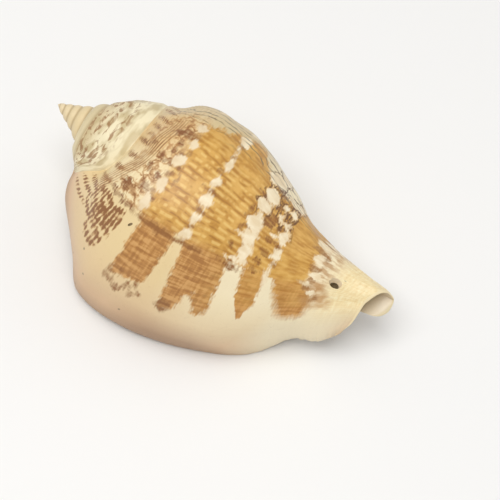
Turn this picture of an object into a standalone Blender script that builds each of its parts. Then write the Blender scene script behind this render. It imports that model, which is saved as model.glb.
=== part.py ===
"""Dog conch shell: a right-handed spiral shell with a small stepped spire, one big last whorl, a flared
thick lip, a long aperture and an open canal, and a small hole bored through the wall near the canal.

It grows round a coil axis. Lengths below are in millimetres: axial distances run from the apex towards the
canal, radii are measured from the coil axis, and turns count round it, with 0.05 at the lip and smaller
numbers further back along the growth. The finished shell lies on its aperture side, apex towards -X, canal
towards +X, lip towards -Y.
"""

import math

import bpy
import numpy as np
from mathutils import Matrix

MM = 0.001

# ---- growth round the axis ----
TURN_LIP = 0.05          # turn at which the lip stands
TURNS = 6.5              # whorls from the apex to the lip
ROWS_PER_TURN = 40
BODY_COLUMNS = 28        # faces from the suture to the canal end
SPIRE_COLUMNS = 5        # faces from one suture to the next

# Suture, the line where each whorl meets the one before: (turn, axial, radius)
SUTURE = (
    (-6.45, 0.1, 0.3),
    (-5.5, 1.0, 0.7),
    (-4.5, 2.2, 1.3),
    (-3.5, 3.5, 1.9),
    (-2.5, 5.0, 2.7),
    (-1.5, 7.3, 4.4),
    (-1.25, 7.5, 5.4),
    (-0.95, 7.6, 6.3),
    (-0.75, 10.2, 8.2),
    (-0.5, 14.5, 9.5),
    (-0.25, 15.7, 8.8),
    (-0.12, 14.2, 7.5),
    (-0.03, 10.2, 7.3),
    (0.05, 8.2, 7.3),
)

# Bulge of a spire whorl over the line between its two sutures, as a share of that line: (turn, share)
SPIRE_BULGE = ((-6.5, 0.10), (-2.5, 0.12), (-1.9, 0.14), (-1.5, 0.12), (-0.95, 0.05))

# The coil axis bends away from the lip at the canal: (axial, sideways, dorsal)
AXIS_BEND = ((0.0, 0.0, 0.0), (42.0, 0.0, 0.0), (50.0, -1.3, 0.2), (57.0, -2.6, 0.5), (64.0, -3.1, 0.9))

# Sections of the last whorl, (axial, radius) from under the suture to the canal end, at these turns
SECTION_TURNS = (-0.95, -0.75, -0.5, -0.25, -0.1, 0.0, 0.05)
SECTIONS = (
    ((10.6, 8.6), (14.1, 10.2), (19.1, 11.1), (25.1, 10.6), (31.1, 9.2),
     (37.0, 7.2), (42.9, 5.3), (48.5, 4.1), (54.0, 3.6), (59.3, 3.4)),
    ((13.7, 10.0), (17.2, 11.5), (22.2, 12.3), (27.2, 11.9), (32.6, 10.5),
     (38.5, 8.5), (44.4, 6.3), (50.0, 4.2), (55.4, 2.8), (60.8, 1.9)),
    ((17.8, 10.7), (20.6, 12.6), (24.4, 13.2), (28.8, 12.8), (33.6, 11.5),
     (39.0, 9.2), (44.3, 6.5), (49.9, 4.1), (55.4, 2.6), (60.2, 1.6)),
    ((17.6, 11.0), (21.1, 13.6), (25.4, 14.7), (30.2, 14.1), (35.1, 12.4),
     (39.9, 10.0), (44.8, 7.5), (49.5, 5.1), (54.3, 3.3), (58.1, 2.7)),
    ((15.0, 11.6), (19.0, 15.2), (24.6, 16.9), (30.1, 16.5), (35.6, 14.9),
     (41.1, 12.5), (46.0, 9.7), (50.2, 6.9), (54.0, 4.7), (57.3, 3.3)),
    ((11.9, 11.6), (16.6, 17.0), (22.7, 20.3), (28.9, 20.5), (35.1, 19.3),
     (41.2, 17.0), (46.2, 13.8), (50.5, 10.1), (54.1, 7.9), (57.4, 5.0)),
    ((9.6, 11.7), (14.9, 17.9), (20.8, 22.7), (27.9, 22.9), (35.1, 21.3),
     (41.6, 18.7), (47.2, 15.9), (50.9, 11.6), (54.5, 10.1), (56.9, 7.4)),
)

# The lip reaches further round than TURN_LIP at its two ends, so that its edge stands level: (share, turns)
LIP_REACH = ((0.0, 0.0), (0.08, 0.012), (0.17, 0.03), (0.28, 0.012), (0.4, 0.0), (0.55, 0.008),
             (0.68, 0.026), (0.8, 0.045), (0.88, 0.03), (1.0, 0.0))
LIP_REACH_START = -0.12  # turn from which the rows lean towards it
RIM_INSET = 1.0          # the rim rounds in by this at the thickest part of the lip
RIM_AHEAD = 0.9          # and forward by this
RIM_START = 0.083        # share below the suture over which the rounding grows
APEX_TIP = -0.15         # axial place of the blunt tip

# ---- hollow ----
CAVITY_TURNS = 0.80      # how far round the hollow follows the last whorl from the lip
CAVITY_ROWS = 32
CAVITY_COLUMNS = 20      # faces along each long side of its section
CROWDING = 1.25          # above 1, the faces crowd towards the suture end of the section
PROFILE_SAMPLES = 240    # points at which a whorl's profile is read for the walls
LEAST_GAP = 0.5          # least width of the hollow
LIP_TURNS = 0.10         # the wall thickens to the lip over this share of a turn
CALLUS = 0.3             # smooth layer laid over the whorl inside the aperture
CORNER_DROP = 1.6        # the hollow starts this far under the suture
INNER_SHORTENING = 0.42  # share by which the whorl under the hollow gets shorter in CAVITY_TURNS
INNER_NARROWING = 0.34   # and narrower
MOUTH_REACH = 9.0        # the cutter runs on this far past the lip
MOUTH_STEPS = (0.35, 1.0)  # in these shares of that reach
MOUTH_SPLAY = 0.35       # and leans outwards, so that it clears the shell below

# Wall inside the last whorl and at the lip, from the suture to the canal end: (share, wall, lip wall)
WALLS = ((0.0, 1.2, 1.6), (0.15, 1.3, 2.6), (0.6, 1.3, 2.7), (0.78, 1.2, 2.0), (0.88, 1.0, 1.1),
         (1.0, 0.7, 0.9))

# ---- canal ----
# How far down the hollow reaches: (turn, axial); past the end of the shell, it opens the canal
HOLLOW_END = ((-0.75, 44.0), (-0.62, 49.0), (-0.5, 64.0), (0.05, 64.0))
# How much of the pillar gives way to the canal: (axial, share), (turn, share)
CANAL_CLEARS = ((44.0, 0.0), (53.0, 1.0), (64.0, 1.0))
CANAL_OPENS = ((-0.8, 1.0), (-0.04, 1.0), (0.05, 0.0))
CANAL_MIDDLE = 0.15      # radius left of the pillar inside the canal

# ---- bored hole ----
BORE_DIAMETER = 2.0
BORE_DEPTH = 4.0
BORE_SUNK = 0.35         # share of its length that lies below the surface, from its middle
BORE_SIDES = 24
BORE_TURN = -0.178
BORE_AXIAL = 52.4

# ---- how it lies ----
REST_PITCH = 6.0         # degrees about the sideways axis, canal end down
REST_ROLL = 9.2          # degrees about the long axis, lip down


def through(keys, x):
    """Smooth curve through (position, value...) keys that never overshoots them, read at the positions x."""
    keys = np.asarray(keys, float)
    x = np.asarray(x, float)
    at = keys[:, 0]
    value = keys[:, 1:]
    step = np.diff(at)[:, None]
    slope = np.diff(value, axis=0) / step
    tangent = np.zeros_like(value)
    tangent[0] = slope[0]
    tangent[-1] = slope[-1]
    before = slope[:-1]
    after = slope[1:]
    same = before * after > 0
    weight_1 = 2 * step[1:] + step[:-1]
    weight_2 = step[1:] + 2 * step[:-1]
    safe_before = np.where(same, before, 1.0)
    safe_after = np.where(same, after, 1.0)
    mean = (weight_1 + weight_2) / (weight_1 / safe_before + weight_2 / safe_after)
    tangent[1:-1] = np.where(same, mean, 0.0)
    k = np.clip(np.searchsorted(at, x, side="right") - 1, 0, len(at) - 2)
    h = step[k]
    u = np.clip((x - at[k]) / h[..., 0], 0.0, 1.0)[..., None]
    return (
        value[k] * (1 + 2 * u) * (1 - u) ** 2
        + tangent[k] * h * u * (1 - u) ** 2
        + value[k + 1] * u * u * (3 - 2 * u)
        + tangent[k + 1] * h * u * u * (u - 1)
    )


def section(turn):
    """Stations (axial, radius) of the last whorl at one turn, the suture first."""
    turn = float(np.clip(turn, SECTION_TURNS[0], SECTION_TURNS[-1]))
    table = np.array(SECTIONS)
    keys = np.column_stack([SECTION_TURNS, table.reshape(len(SECTION_TURNS), -1)])
    stations = through(keys, turn).reshape(-1, 2)
    return np.vstack([through(SUTURE, turn), stations])


def along(stations, share):
    """Points of a smooth curve through evenly numbered stations, at shares 0..1 of their number."""
    last = len(stations) - 1
    x = np.clip(np.asarray(share, float), 0.0, 1.0) * last
    k = np.clip(np.floor(x).astype(int), 0, last - 1)
    u = (x - k)[:, None]
    before = stations[np.maximum(k - 1, 0)]
    start = stations[k]
    end = stations[k + 1]
    after = stations[np.minimum(k + 2, last)]
    return (
        start * (1 + 2 * u) * (1 - u) ** 2
        + (end - before) * 0.5 * u * (1 - u) ** 2
        + end * u * u * (3 - 2 * u)
        + (after - start) * 0.5 * u * u * (u - 1)
    )


def place(turn, profile):
    """Profile points (axial, radius) turned round the bent axis, in metres: (axis, away from lip, dorsal)."""
    angle = -2 * math.pi * np.asarray(turn)
    bend = through(AXIS_BEND, profile[:, 0])
    side = bend[:, 0] + profile[:, 1] * np.cos(angle)
    dorsal = bend[:, 1] + profile[:, 1] * np.sin(angle)
    return np.column_stack([profile[:, 0], -side, dorsal]) * MM


def leaned(turn, share):
    """The turn of each point of a row, with the lean that levels the edge of the lip."""
    ramp = np.clip((turn - LIP_REACH_START) / (TURN_LIP - LIP_REACH_START), 0.0, 1.0)
    return turn + through(LIP_REACH, share)[:, 0] * ramp**2


def inward(profile, depth):
    """A profile moved in by a depth given for each of its points."""
    run = np.gradient(profile, axis=0)
    run /= np.linalg.norm(run, axis=1)[:, None]
    return profile + np.column_stack([run[:, 1], -run[:, 0]]) * np.asarray(depth)[:, None]


def spire_band(turn, share):
    """Profile of a spire whorl from its own suture to the next one."""
    start = through(SUTURE, turn)
    end = through(SUTURE, turn + 1)
    run = end - start
    outward = np.array([-run[1], run[0]])
    bulge = float(through(SPIRE_BULGE, turn)[0]) * np.sin(np.pi * share)
    return start + run * share[:, None] + outward * bulge[:, None]


def mesh_object(name, points, faces, collection):
    mesh = bpy.data.meshes.new(name)
    mesh.from_pydata([tuple(p) for p in points], [], faces)
    mesh.validate()
    made = bpy.data.objects.new(name, mesh)
    collection.objects.link(made)
    bpy.context.view_layer.objects.active = made
    made.select_set(True)
    bpy.ops.object.mode_set(mode="EDIT")
    bpy.ops.mesh.select_all(action="SELECT")
    bpy.ops.mesh.remove_doubles(threshold=1e-7)
    bpy.ops.mesh.normals_make_consistent(inside=False)
    bpy.ops.object.mode_set(mode="OBJECT")
    made.select_set(False)
    return made


def ring_faces(rows, count):
    """Faces of a tube whose rings have count points each, capped at both ends."""
    faces = []
    for i in range(rows - 1):
        for j in range(count):
            a = i * count + j
            b = i * count + (j + 1) % count
            faces.append((a, b, b + count, a + count))
    faces.append(tuple(reversed(range(count))))
    faces.append(tuple((rows - 1) * count + j for j in range(count)))
    return faces


# ---- scene, collections and material ----
for old in list(bpy.data.objects):
    bpy.data.objects.remove(old, do_unlink=True)
part = bpy.data.collections.new("Dog conch shell")
cutters = bpy.data.collections.new("Cutters")
bpy.context.scene.collection.children.link(part)
bpy.context.scene.collection.children.link(cutters)

shell_matter = bpy.data.materials.new("Shell aragonite")
shell_matter.use_nodes = True
shell_shader = shell_matter.node_tree.nodes["Principled BSDF"]
shell_shader.inputs["Base Color"].default_value = (0.68, 0.50, 0.31, 1.0)
shell_shader.inputs["Roughness"].default_value = 0.42
shell_shader.inputs["IOR"].default_value = 1.53

# ---- outer form: spire bands and the last whorl, closed at the lip, the apex and the canal end ----
rows = int(round(TURNS * ROWS_PER_TURN))
turns = [TURN_LIP - (rows - i) / ROWS_PER_TURN for i in range(rows + 1)]
first_body_row = rows - ROWS_PER_TURN
points = []
suture_index = []
for turn in turns:
    suture_index.append(len(points))
    points.extend(place(turn, through(SUTURE, [turn])))

body_index = {}
body_share = np.linspace(0, 1, BODY_COLUMNS + 1)
for i in range(first_body_row, rows + 1):
    placed = place(leaned(turns[i], body_share), along(section(turns[i]), body_share))
    body_index[i] = [suture_index[i]]
    for p in placed[1:]:
        body_index[i].append(len(points))
        points.append(p)

band_index = {}
band_share = np.linspace(0, 1, SPIRE_COLUMNS + 1)
for i in range(0, first_body_row + 1):
    placed = place(turns[i], spire_band(turns[i], band_share))
    band_index[i] = [suture_index[i]]
    for p in placed[1:-1]:
        band_index[i].append(len(points))
        points.append(p)
    band_index[i].append(suture_index[i + ROWS_PER_TURN])

faces = []
for i in range(0, first_body_row):
    for j in range(SPIRE_COLUMNS):
        faces.append((band_index[i][j], band_index[i + 1][j], band_index[i + 1][j + 1], band_index[i][j + 1]))
for i in range(first_body_row, rows):
    for j in range(BODY_COLUMNS):
        faces.append((body_index[i][j], body_index[i + 1][j], body_index[i + 1][j + 1], body_index[i][j + 1]))

# the rim rounds in and forward from the last row, more where the lip is thicker
lip_row = along(section(TURN_LIP), body_share)
thickness = through(WALLS, body_share)[:, 1]
rounding = thickness / thickness.max() * np.minimum(1.0, body_share / RIM_START)
rim_ahead = RIM_AHEAD * rounding / (2 * math.pi * lip_row[:, 1])
rim_placed = place(leaned(TURN_LIP, body_share) + rim_ahead, inward(lip_row, RIM_INSET * rounding))
rim = [suture_index[rows]]
for p in rim_placed[1:]:
    rim.append(len(points))
    points.append(p)
for j in range(BODY_COLUMNS):
    faces.append((body_index[rows][j], rim[j], rim[j + 1], body_index[rows][j + 1])[(1 if j == 0 else 0):])

# the lip face stands between the rim and the row one whorl before it
under = body_index[first_body_row]
faces.append(tuple([under[1]] + band_index[first_body_row] + [rim[1]]))
for j in range(1, BODY_COLUMNS):
    faces.append((under[j], rim[j], rim[j + 1], under[j + 1]))

apex = len(points)
points.append(np.array([APEX_TIP * MM, 0.0, 0.0]))
for i in range(ROWS_PER_TURN):
    faces.append((apex, suture_index[i], suture_index[i + 1]))
first_band = tuple(reversed(band_index[0][:SPIRE_COLUMNS]))
faces.append((apex, suture_index[ROWS_PER_TURN]) + first_band)

canal_ring = [body_index[i][-1] for i in range(first_body_row, rows + 1)] + [rim[-1]]
canal_centre = len(points)
points.append(np.mean([points[k] for k in canal_ring], axis=0))
for k in range(len(canal_ring)):
    faces.append((canal_centre, canal_ring[(k + 1) % len(canal_ring)], canal_ring[k]))

# laid down on its aperture side, with the middle of its footprint over the origin
laid = Matrix.Rotation(math.radians(REST_ROLL), 4, "X") @ Matrix.Rotation(math.radians(REST_PITCH), 4, "Y")
turned = np.array(points) @ np.array(laid.to_3x3()).T
low = turned.min(axis=0)
high = turned.max(axis=0)
laid = Matrix.Translation((-(low[0] + high[0]) / 2, -(low[1] + high[1]) / 2, -low[2])) @ laid
shell = mesh_object("conch_shell", points, faces, part)
shell.data.transform(laid)
shell.data.materials.append(shell_matter)

# ---- hollow of the last whorl: a tube that follows the growth from the lip inwards ----
under_section = section(TURN_LIP - 1)
mouth_angle = -2 * math.pi * TURN_LIP
ahead = np.array([0.0, -math.sin(mouth_angle), -math.cos(mouth_angle)])
outward = np.array([0.0, -math.cos(mouth_angle), math.sin(mouth_angle)])
fine = np.linspace(0, 1, PROFILE_SAMPLES)
tube = []
for k in range(CAVITY_ROWS + 1):
    depth = 1 - k / CAVITY_ROWS
    turn = TURN_LIP - CAVITY_TURNS * depth
    lip_share = max(0.0, 1 - CAVITY_TURNS * depth / LIP_TURNS)
    suture = through(SUTURE, turn)
    top = suture[0] + CORNER_DROP
    bottom = float(through(HOLLOW_END, turn)[0])
    axial = top + (bottom - top) * np.linspace(0, 1, CAVITY_COLUMNS + 1) ** CROWDING
    walls = through(WALLS, fine)
    outer = inward(along(section(turn), fine), walls[:, 0] + (walls[:, 1] - walls[:, 0]) * lip_share**2)
    outer_radius = np.interp(axial, outer[:, 0], outer[:, 1])
    outer_lean = np.interp(axial, outer[:, 0], leaned(turn, fine))
    pillar = along(under_section, fine)
    pillar_axial = suture[0] + (pillar[:, 0] - under_section[0, 0]) * (1 - INNER_SHORTENING * depth)
    pillar_radius = pillar[:, 1] * (1 - INNER_NARROWING * depth) + CALLUS
    cleared = through(CANAL_CLEARS, axial)[:, 0] * float(through(CANAL_OPENS, turn)[0])
    inner_radius = np.interp(axial, pillar_axial, pillar_radius)
    inner_radius = inner_radius + (CANAL_MIDDLE - inner_radius) * cleared
    outer_radius = np.maximum(outer_radius, inner_radius + LEAST_GAP)
    outer_side = place(outer_lean, np.column_stack([axial, outer_radius]))
    inner_side = place(turn, np.column_stack([axial, inner_radius]))
    tube.append(np.vstack([outer_side, inner_side[::-1]]))
mouth = np.vstack([place(TURN_LIP, np.column_stack([axial, outer_radius])), inner_side[::-1]])
for reach in MOUTH_STEPS:
    tube.append(mouth + (ahead + outward * MOUTH_SPLAY) * MOUTH_REACH * reach * MM)
ring = len(mouth)
cavity = mesh_object("Hollow", np.vstack(tube), ring_faces(len(tube), ring), cutters)
cavity.data.transform(laid)

# ---- bored hole: a short round bore through the upper wall of the canal ----
bore_angle = -2 * math.pi * BORE_TURN
bore_at = through(AXIS_BEND, BORE_AXIAL)
bore_profile = along(section(BORE_TURN), fine)
bore_radius = float(np.interp(BORE_AXIAL, bore_profile[:, 0], bore_profile[:, 1]))
bore_middle = bore_radius - BORE_DEPTH * BORE_SUNK
bore_place = Matrix.Translation((
    BORE_AXIAL * MM,
    -(bore_at[0] + bore_middle * math.cos(bore_angle)) * MM,
    (bore_at[1] + bore_middle * math.sin(bore_angle)) * MM,
))
bpy.ops.mesh.primitive_cylinder_add(vertices=BORE_SIDES, radius=BORE_DIAMETER / 2 * MM, depth=BORE_DEPTH * MM)
bore = bpy.context.object
bore.name = "Bored hole"
for owner in list(bore.users_collection):
    owner.objects.unlink(bore)
cutters.objects.link(bore)
bore.matrix_world = laid @ bore_place

# flat triangles everywhere, then the two cutters are taken away together
shell.modifiers.new("Triangles", "TRIANGULATE")
for cutter in (cavity, bore):
    cutter.hide_render = True
    cutter.display_type = "WIRE"
    cutter.modifiers.new("Triangles", "TRIANGULATE")
cut = shell.modifiers.new("Hollow and bored hole", "BOOLEAN")
cut.operation = "DIFFERENCE"
cut.solver = "EXACT"
cut.operand_type = "COLLECTION"
cut.collection = cutters
bpy.context.view_layer.update()
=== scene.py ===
"""Dog conch shell lying on its aperture side, on a plain pale floor in soft studio light.

The shell is one grown piece: a small stepped spire, one big last whorl with a flared thick lip, a long
aperture underneath and an open canal. Lengths are in millimetres until a point is placed, then in metres.
"""
import math

import bpy
import numpy as np
from mathutils import Matrix, Vector


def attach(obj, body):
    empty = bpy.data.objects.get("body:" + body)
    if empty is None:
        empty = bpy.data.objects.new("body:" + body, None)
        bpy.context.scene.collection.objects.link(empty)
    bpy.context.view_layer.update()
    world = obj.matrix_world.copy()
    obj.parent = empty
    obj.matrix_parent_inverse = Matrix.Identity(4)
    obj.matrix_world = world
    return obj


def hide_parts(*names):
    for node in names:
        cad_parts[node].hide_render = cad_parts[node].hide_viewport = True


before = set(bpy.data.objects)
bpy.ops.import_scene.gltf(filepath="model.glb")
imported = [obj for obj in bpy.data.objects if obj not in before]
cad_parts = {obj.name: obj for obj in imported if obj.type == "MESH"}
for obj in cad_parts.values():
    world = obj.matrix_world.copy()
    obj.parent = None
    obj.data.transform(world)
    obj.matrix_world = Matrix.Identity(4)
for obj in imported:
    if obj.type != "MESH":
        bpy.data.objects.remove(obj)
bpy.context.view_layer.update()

bpy.ops.object.select_all(action="DESELECT")

# ======================================================================================================
# Shell. One piece of aragonite, laid down by the animal at the lip as it grew round the coil axis.
# The outer layer is cream with broken brown bands; the lip and the mouth are glazed with smooth callus.
# Its form is a section swept round the axis, so each surface is a grid drawn over the growth.
# ======================================================================================================
MM = 0.001

# Turns count round the axis: 0.05 at the lip, smaller further back. Axial distances run from the apex.
TURN_LIP = 0.05
TURN_FIRST = -6.45
SUTURE = (                # line where a whorl meets the one before: (turn, axial, radius)
    (-6.45, 0.1, 0.3), (-5.5, 1.0, 0.7), (-4.5, 2.2, 1.3), (-3.5, 3.5, 1.9), (-2.5, 5.0, 2.7),
    (-1.5, 7.3, 4.4), (-1.25, 7.5, 5.4), (-0.95, 7.6, 6.3), (-0.75, 10.2, 8.2), (-0.5, 14.5, 9.5),
    (-0.25, 15.7, 8.8), (-0.12, 14.2, 7.5), (-0.03, 10.2, 7.3), (0.05, 8.2, 7.3),
)
SPIRE_BULGE = ((-6.5, 0.10), (-2.5, 0.12), (-1.9, 0.14), (-1.6, 0.09), (-1.3, 0.075), (-0.95, 0.05))
AXIS_BEND = ((0.0, 0.0, 0.0), (42.0, 0.0, 0.0), (50.0, -1.3, 0.2), (57.0, -2.6, 0.5), (64.0, -3.1, 0.9))
SECTION_TURNS = (-0.95, -0.75, -0.5, -0.25, -0.1, 0.0, 0.05)
SECTIONS = (              # last whorl, (axial, radius) from under the suture to the canal end, at those turns
    ((10.6, 8.6), (14.1, 10.2), (19.1, 11.1), (25.1, 10.6), (31.1, 9.2),
     (37.0, 7.2), (42.9, 5.3), (48.5, 4.1), (54.0, 3.4), (59.4, 2.6)),
    ((13.7, 10.0), (17.2, 11.5), (22.2, 12.3), (27.2, 11.9), (32.6, 10.5),
     (38.5, 8.5), (44.4, 6.3), (50.0, 4.2), (55.4, 2.8), (60.8, 1.9)),
    ((17.8, 10.7), (20.6, 12.6), (24.4, 13.2), (28.8, 12.8), (33.6, 11.5),
     (39.0, 9.2), (44.3, 6.5), (49.9, 4.1), (55.4, 2.6), (60.2, 1.6)),
    ((17.6, 11.0), (21.1, 13.6), (25.4, 14.7), (30.2, 14.1), (35.1, 12.4),
     (39.9, 10.0), (44.8, 7.5), (49.5, 5.1), (54.3, 3.3), (58.1, 2.7)),
    ((15.0, 11.6), (19.0, 15.2), (24.6, 16.9), (30.1, 16.5), (35.6, 14.9),
     (41.1, 12.5), (46.0, 9.7), (50.2, 6.9), (54.0, 4.7), (57.3, 3.3)),
    ((11.9, 11.6), (16.6, 17.0), (22.7, 20.3), (28.9, 20.5), (35.1, 19.3),
     (41.2, 17.0), (46.2, 13.8), (50.5, 10.1), (54.1, 7.9), (57.4, 5.0)),
    ((9.6, 11.7), (14.9, 17.9), (20.8, 22.7), (27.9, 22.9), (35.1, 21.3),
     (41.6, 18.7), (47.2, 15.9), (50.9, 11.6), (54.5, 10.1), (56.9, 7.4)),
)
LIP_REACH = ((0.0, 0.0), (0.08, 0.012), (0.17, 0.03), (0.28, 0.012), (0.4, 0.0), (0.55, 0.008),
             (0.68, 0.026), (0.8, 0.045), (0.88, 0.03), (1.0, 0.0))
LIP_REACH_START = -0.12

# Wall of the last whorl and of the lip itself, from the suture to the canal end: (share, wall, lip wall)
WALLS = ((0.0, 1.2, 1.6), (0.15, 1.3, 2.6), (0.6, 1.3, 2.7), (0.78, 1.2, 1.9), (0.88, 1.0, 0.8),
         (0.96, 0.55, 0.38), (1.0, 0.24, 0.24))
LIP_TURNS = 0.10          # the wall thickens to the lip over this share of a turn
RIM_AHEAD = 0.9           # the rounded rim stands ahead of the last growth line by this where it is thickest

# Scallops of the thin lobe at the canal end of the lip, and its small chips
SCALLOP_START = 0.66      # share where they begin
SCALLOP_TURN = 0.02       # and turn past which they reach into the lip
SCALLOP_DEPTH = 0.34
SCALLOP_WAVES = 9.0

# Low relief of the outer layer
KNOB_SPACING = 0.083      # turns from one shoulder knob to the next
KNOB_HEIGHT = 0.26
KNOB_SHARE = 0.15         # the knobs stand here, and fall away over this share on either side
KNOB_SPREAD = 0.075
KNOB_PEAK = 1.5           # power that makes them steeper than a plain wave
CORD_HEIGHT = 0.05        # fine cords under the suture: where, how broad a band, and how far apart
CORD_SHARE = 0.155
CORD_SPREAD = 0.035
CORD_SPACING = 0.0135
CANAL_CORD_HEIGHT = 0.035 # and at the canal end
CANAL_CORD_SPACING = 0.021
SWELL_HEIGHT = 0.12       # slow unevenness of growth
# The last of the lip swells out at its upper corner: (share, height), from this turn on
LIP_SWELL = ((0.0, 0.0), (0.05, 0.35), (0.15, 0.40), (0.20, 0.50), (0.262, 0.88), (0.305, 0.26),
             (0.34, 0.0), (0.40, 0.0), (1.0, 0.0))
LIP_SWELL_TURN = -0.08

# Mouth: its corner under the suture, the pillar inside, and how far round the hollow is open
MOUTH_CORNER = 0.07       # share at which lip and pillar meet
CORNER_FILLET = 0.11      # the inner wall leaves the corner over this share
HOLLOW_TURNS = 0.80
CANAL_TURNS = 0.61        # the canal's trough ends this far back from the lip
CANAL_FROM = 0.62         # share where the pillar starts to open into the trough
CANAL_FULL = 0.85
INNER_SHORTENING = 0.42
INNER_NARROWING = 0.34
CALLUS = 0.3              # smooth layer laid over the pillar, full after this share of the hollow's depth
CALLUS_RUN = 0.12
TROUGH_BED = (0.3, -0.9)  # lowest line of the trough from the axis: (sideways, dorsal)
TROUGH_TURN = -0.75       # it follows the section at this turn
WEDGE_FROM = 0.72         # the hollow closes over the last part of its depth
RIM_OPENS = 0.06          # share by which the rim has left the suture
TIP_ROUNDING = 0.45
TIP_ROWS = 14             # rows in which the canal's edge turns from the lip's way to the axis's
APEX_REACH = 0.15         # the apex closes this far ahead of the first suture
WELD = 2e-7               # in metres, points that lie closer are one
SMOOTH_BELOW = 50         # degrees, a sharper edge shows as an edge

BORE_TURN = -0.178        # bored hole, near the canal
BORE_SHARE = 0.861
BORE_MOUTH = 2.2          # diameter at the surface
BORE_THROAT = 1.1         # and inside the wall

REST_PITCH = 6.0          # degrees that it is laid over by, canal end down and lip down
REST_ROLL = 9.2
REST_PLACE = (-30.0967, 3.3945, 14.5753)      # puts the middle of its box over the origin

TURN_ROWS = 248           # grid rows in a turn
HALF_ROWS = TURN_ROWS // 2
BAND_COLUMNS = 11         # grid columns across a spire whorl and across the rim
# Grid columns from the suture to the canal end, closer where the relief is fine: (share, columns up to it)
BODY_SPREAD = ((0.0, 0), (0.25, 52), (0.80, 122), (1.0, 156))

laid = (Matrix.Translation([c * MM for c in REST_PLACE])
        @ Matrix.Rotation(math.radians(REST_ROLL), 4, "X")
        @ Matrix.Rotation(math.radians(REST_PITCH), 4, "Y"))
laid_turn = np.array(laid.to_3x3())
laid_shift = np.array(laid.translation)


def through(keys, x):
    """Smooth curve through (position, value...) keys that never overshoots them, read at the positions x."""
    keys = np.asarray(keys, float)
    x = np.asarray(x, float)
    at = keys[:, 0]
    value = keys[:, 1:]
    step = np.diff(at)[:, None]
    slope = np.diff(value, axis=0) / step
    tangent = np.zeros_like(value)
    tangent[0] = slope[0]
    tangent[-1] = slope[-1]
    before = slope[:-1]
    after = slope[1:]
    same = before * after > 0
    weight_1 = 2 * step[1:] + step[:-1]
    weight_2 = step[1:] + 2 * step[:-1]
    shared_slope = weight_1 / np.where(same, before, 1.0) + weight_2 / np.where(same, after, 1.0)
    tangent[1:-1] = np.where(same, (weight_1 + weight_2) / shared_slope, 0.0)
    k = np.clip(np.searchsorted(at, x, side="right") - 1, 0, len(at) - 2)
    h = step[k]
    u = np.clip((x - at[k]) / h[..., 0], 0.0, 1.0)[..., None]
    return (value[k] * (1 + 2 * u) * (1 - u) ** 2 + tangent[k] * h * u * (1 - u) ** 2
            + value[k + 1] * u * u * (3 - 2 * u) + tangent[k + 1] * h * u * u * (u - 1))


def section(turn):
    """Stations (axial, radius) of the last whorl at one turn, the suture first."""
    turn = float(np.clip(turn, SECTION_TURNS[0], SECTION_TURNS[-1]))
    table = np.array(SECTIONS)
    keys = np.column_stack([SECTION_TURNS, table.reshape(len(SECTION_TURNS), -1)])
    return np.vstack([through(SUTURE, turn), through(keys, turn).reshape(-1, 2)])


def along(stations, share):
    """Points of a smooth curve through evenly numbered stations, at shares 0..1 of their number."""
    last = len(stations) - 1
    x = np.clip(np.asarray(share, float), 0.0, 1.0) * last
    k = np.clip(np.floor(x).astype(int), 0, last - 1)
    u = (x - k)[:, None]
    start = stations[k]
    end = stations[k + 1]
    rise = (end - stations[np.maximum(k - 1, 0)]) * 0.5
    fall = (stations[np.minimum(k + 2, last)] - start) * 0.5
    return (start * (1 + 2 * u) * (1 - u) ** 2 + rise * u * (1 - u) ** 2
            + end * u * u * (3 - 2 * u) + fall * u * u * (u - 1))


def place(turn, profile):
    """Profile points (axial, radius) turned round the bent axis and laid down, in metres."""
    angle = -2 * math.pi * np.asarray(turn)
    bend = through(AXIS_BEND, profile[..., 0])
    side = bend[..., 0] + profile[..., 1] * np.cos(angle)
    dorsal = bend[..., 1] + profile[..., 1] * np.sin(angle)
    return np.stack([profile[..., 0], -side, dorsal], axis=-1) * MM @ laid_turn.T + laid_shift


def inward(profile, depth):
    """A profile moved in by a depth given for each of its points."""
    run = np.gradient(profile, axis=0)
    run /= np.linalg.norm(run, axis=1)[:, None]
    return profile + np.column_stack([run[:, 1], -run[:, 0]]) * np.asarray(depth)[:, None]


def ease(low, high, x):
    """0 below low, 1 above high, smooth between."""
    x = np.clip((np.asarray(x, float) - low) / (high - low), 0.0, 1.0)
    return x * x * (3 - 2 * x)


def unit(vectors):
    """Vectors brought to length one."""
    return vectors / np.maximum(np.linalg.norm(vectors, axis=-1, keepdims=True), 1e-12)


def outward_of(grid):
    """Unit normals of a grid of points, away from the coil axis."""
    normal = unit(np.cross(np.gradient(grid, axis=0), np.gradient(grid, axis=1)))
    axis_foot = laid_turn[:, 0] * ((grid - laid_shift) @ laid_turn[:, 0])[..., None] + laid_shift
    turned_in = np.sum(normal * (grid - axis_foot), axis=-1).mean() < 0
    return -normal if turned_in else normal


def ripple(x, seed):
    """Smooth uneven wave of about unit height and unit spacing."""
    return (np.sin(2 * math.pi * x + seed) + 0.6 * np.sin(2 * math.pi * x * 1.618 + seed * 2.3)
            + 0.4 * np.sin(2 * math.pi * x * 0.47 + seed * 5.1)) / 1.5


def reach(share):
    """How many turns past the straight growth line the lip stands, scallops included."""
    straight = through(LIP_REACH, share)[:, 0]
    lobe = ease(SCALLOP_START, SCALLOP_START + 0.03, share)
    waves = (share - SCALLOP_START) * SCALLOP_WAVES / (1 - SCALLOP_START)
    wave = ripple(waves, 0.7) + 0.18 * ripple(waves * 1.9, 2.2)
    radius = along(section(TURN_LIP), share)[:, 1]
    return straight, lobe * wave * SCALLOP_DEPTH / (2 * math.pi * radius)


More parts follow.
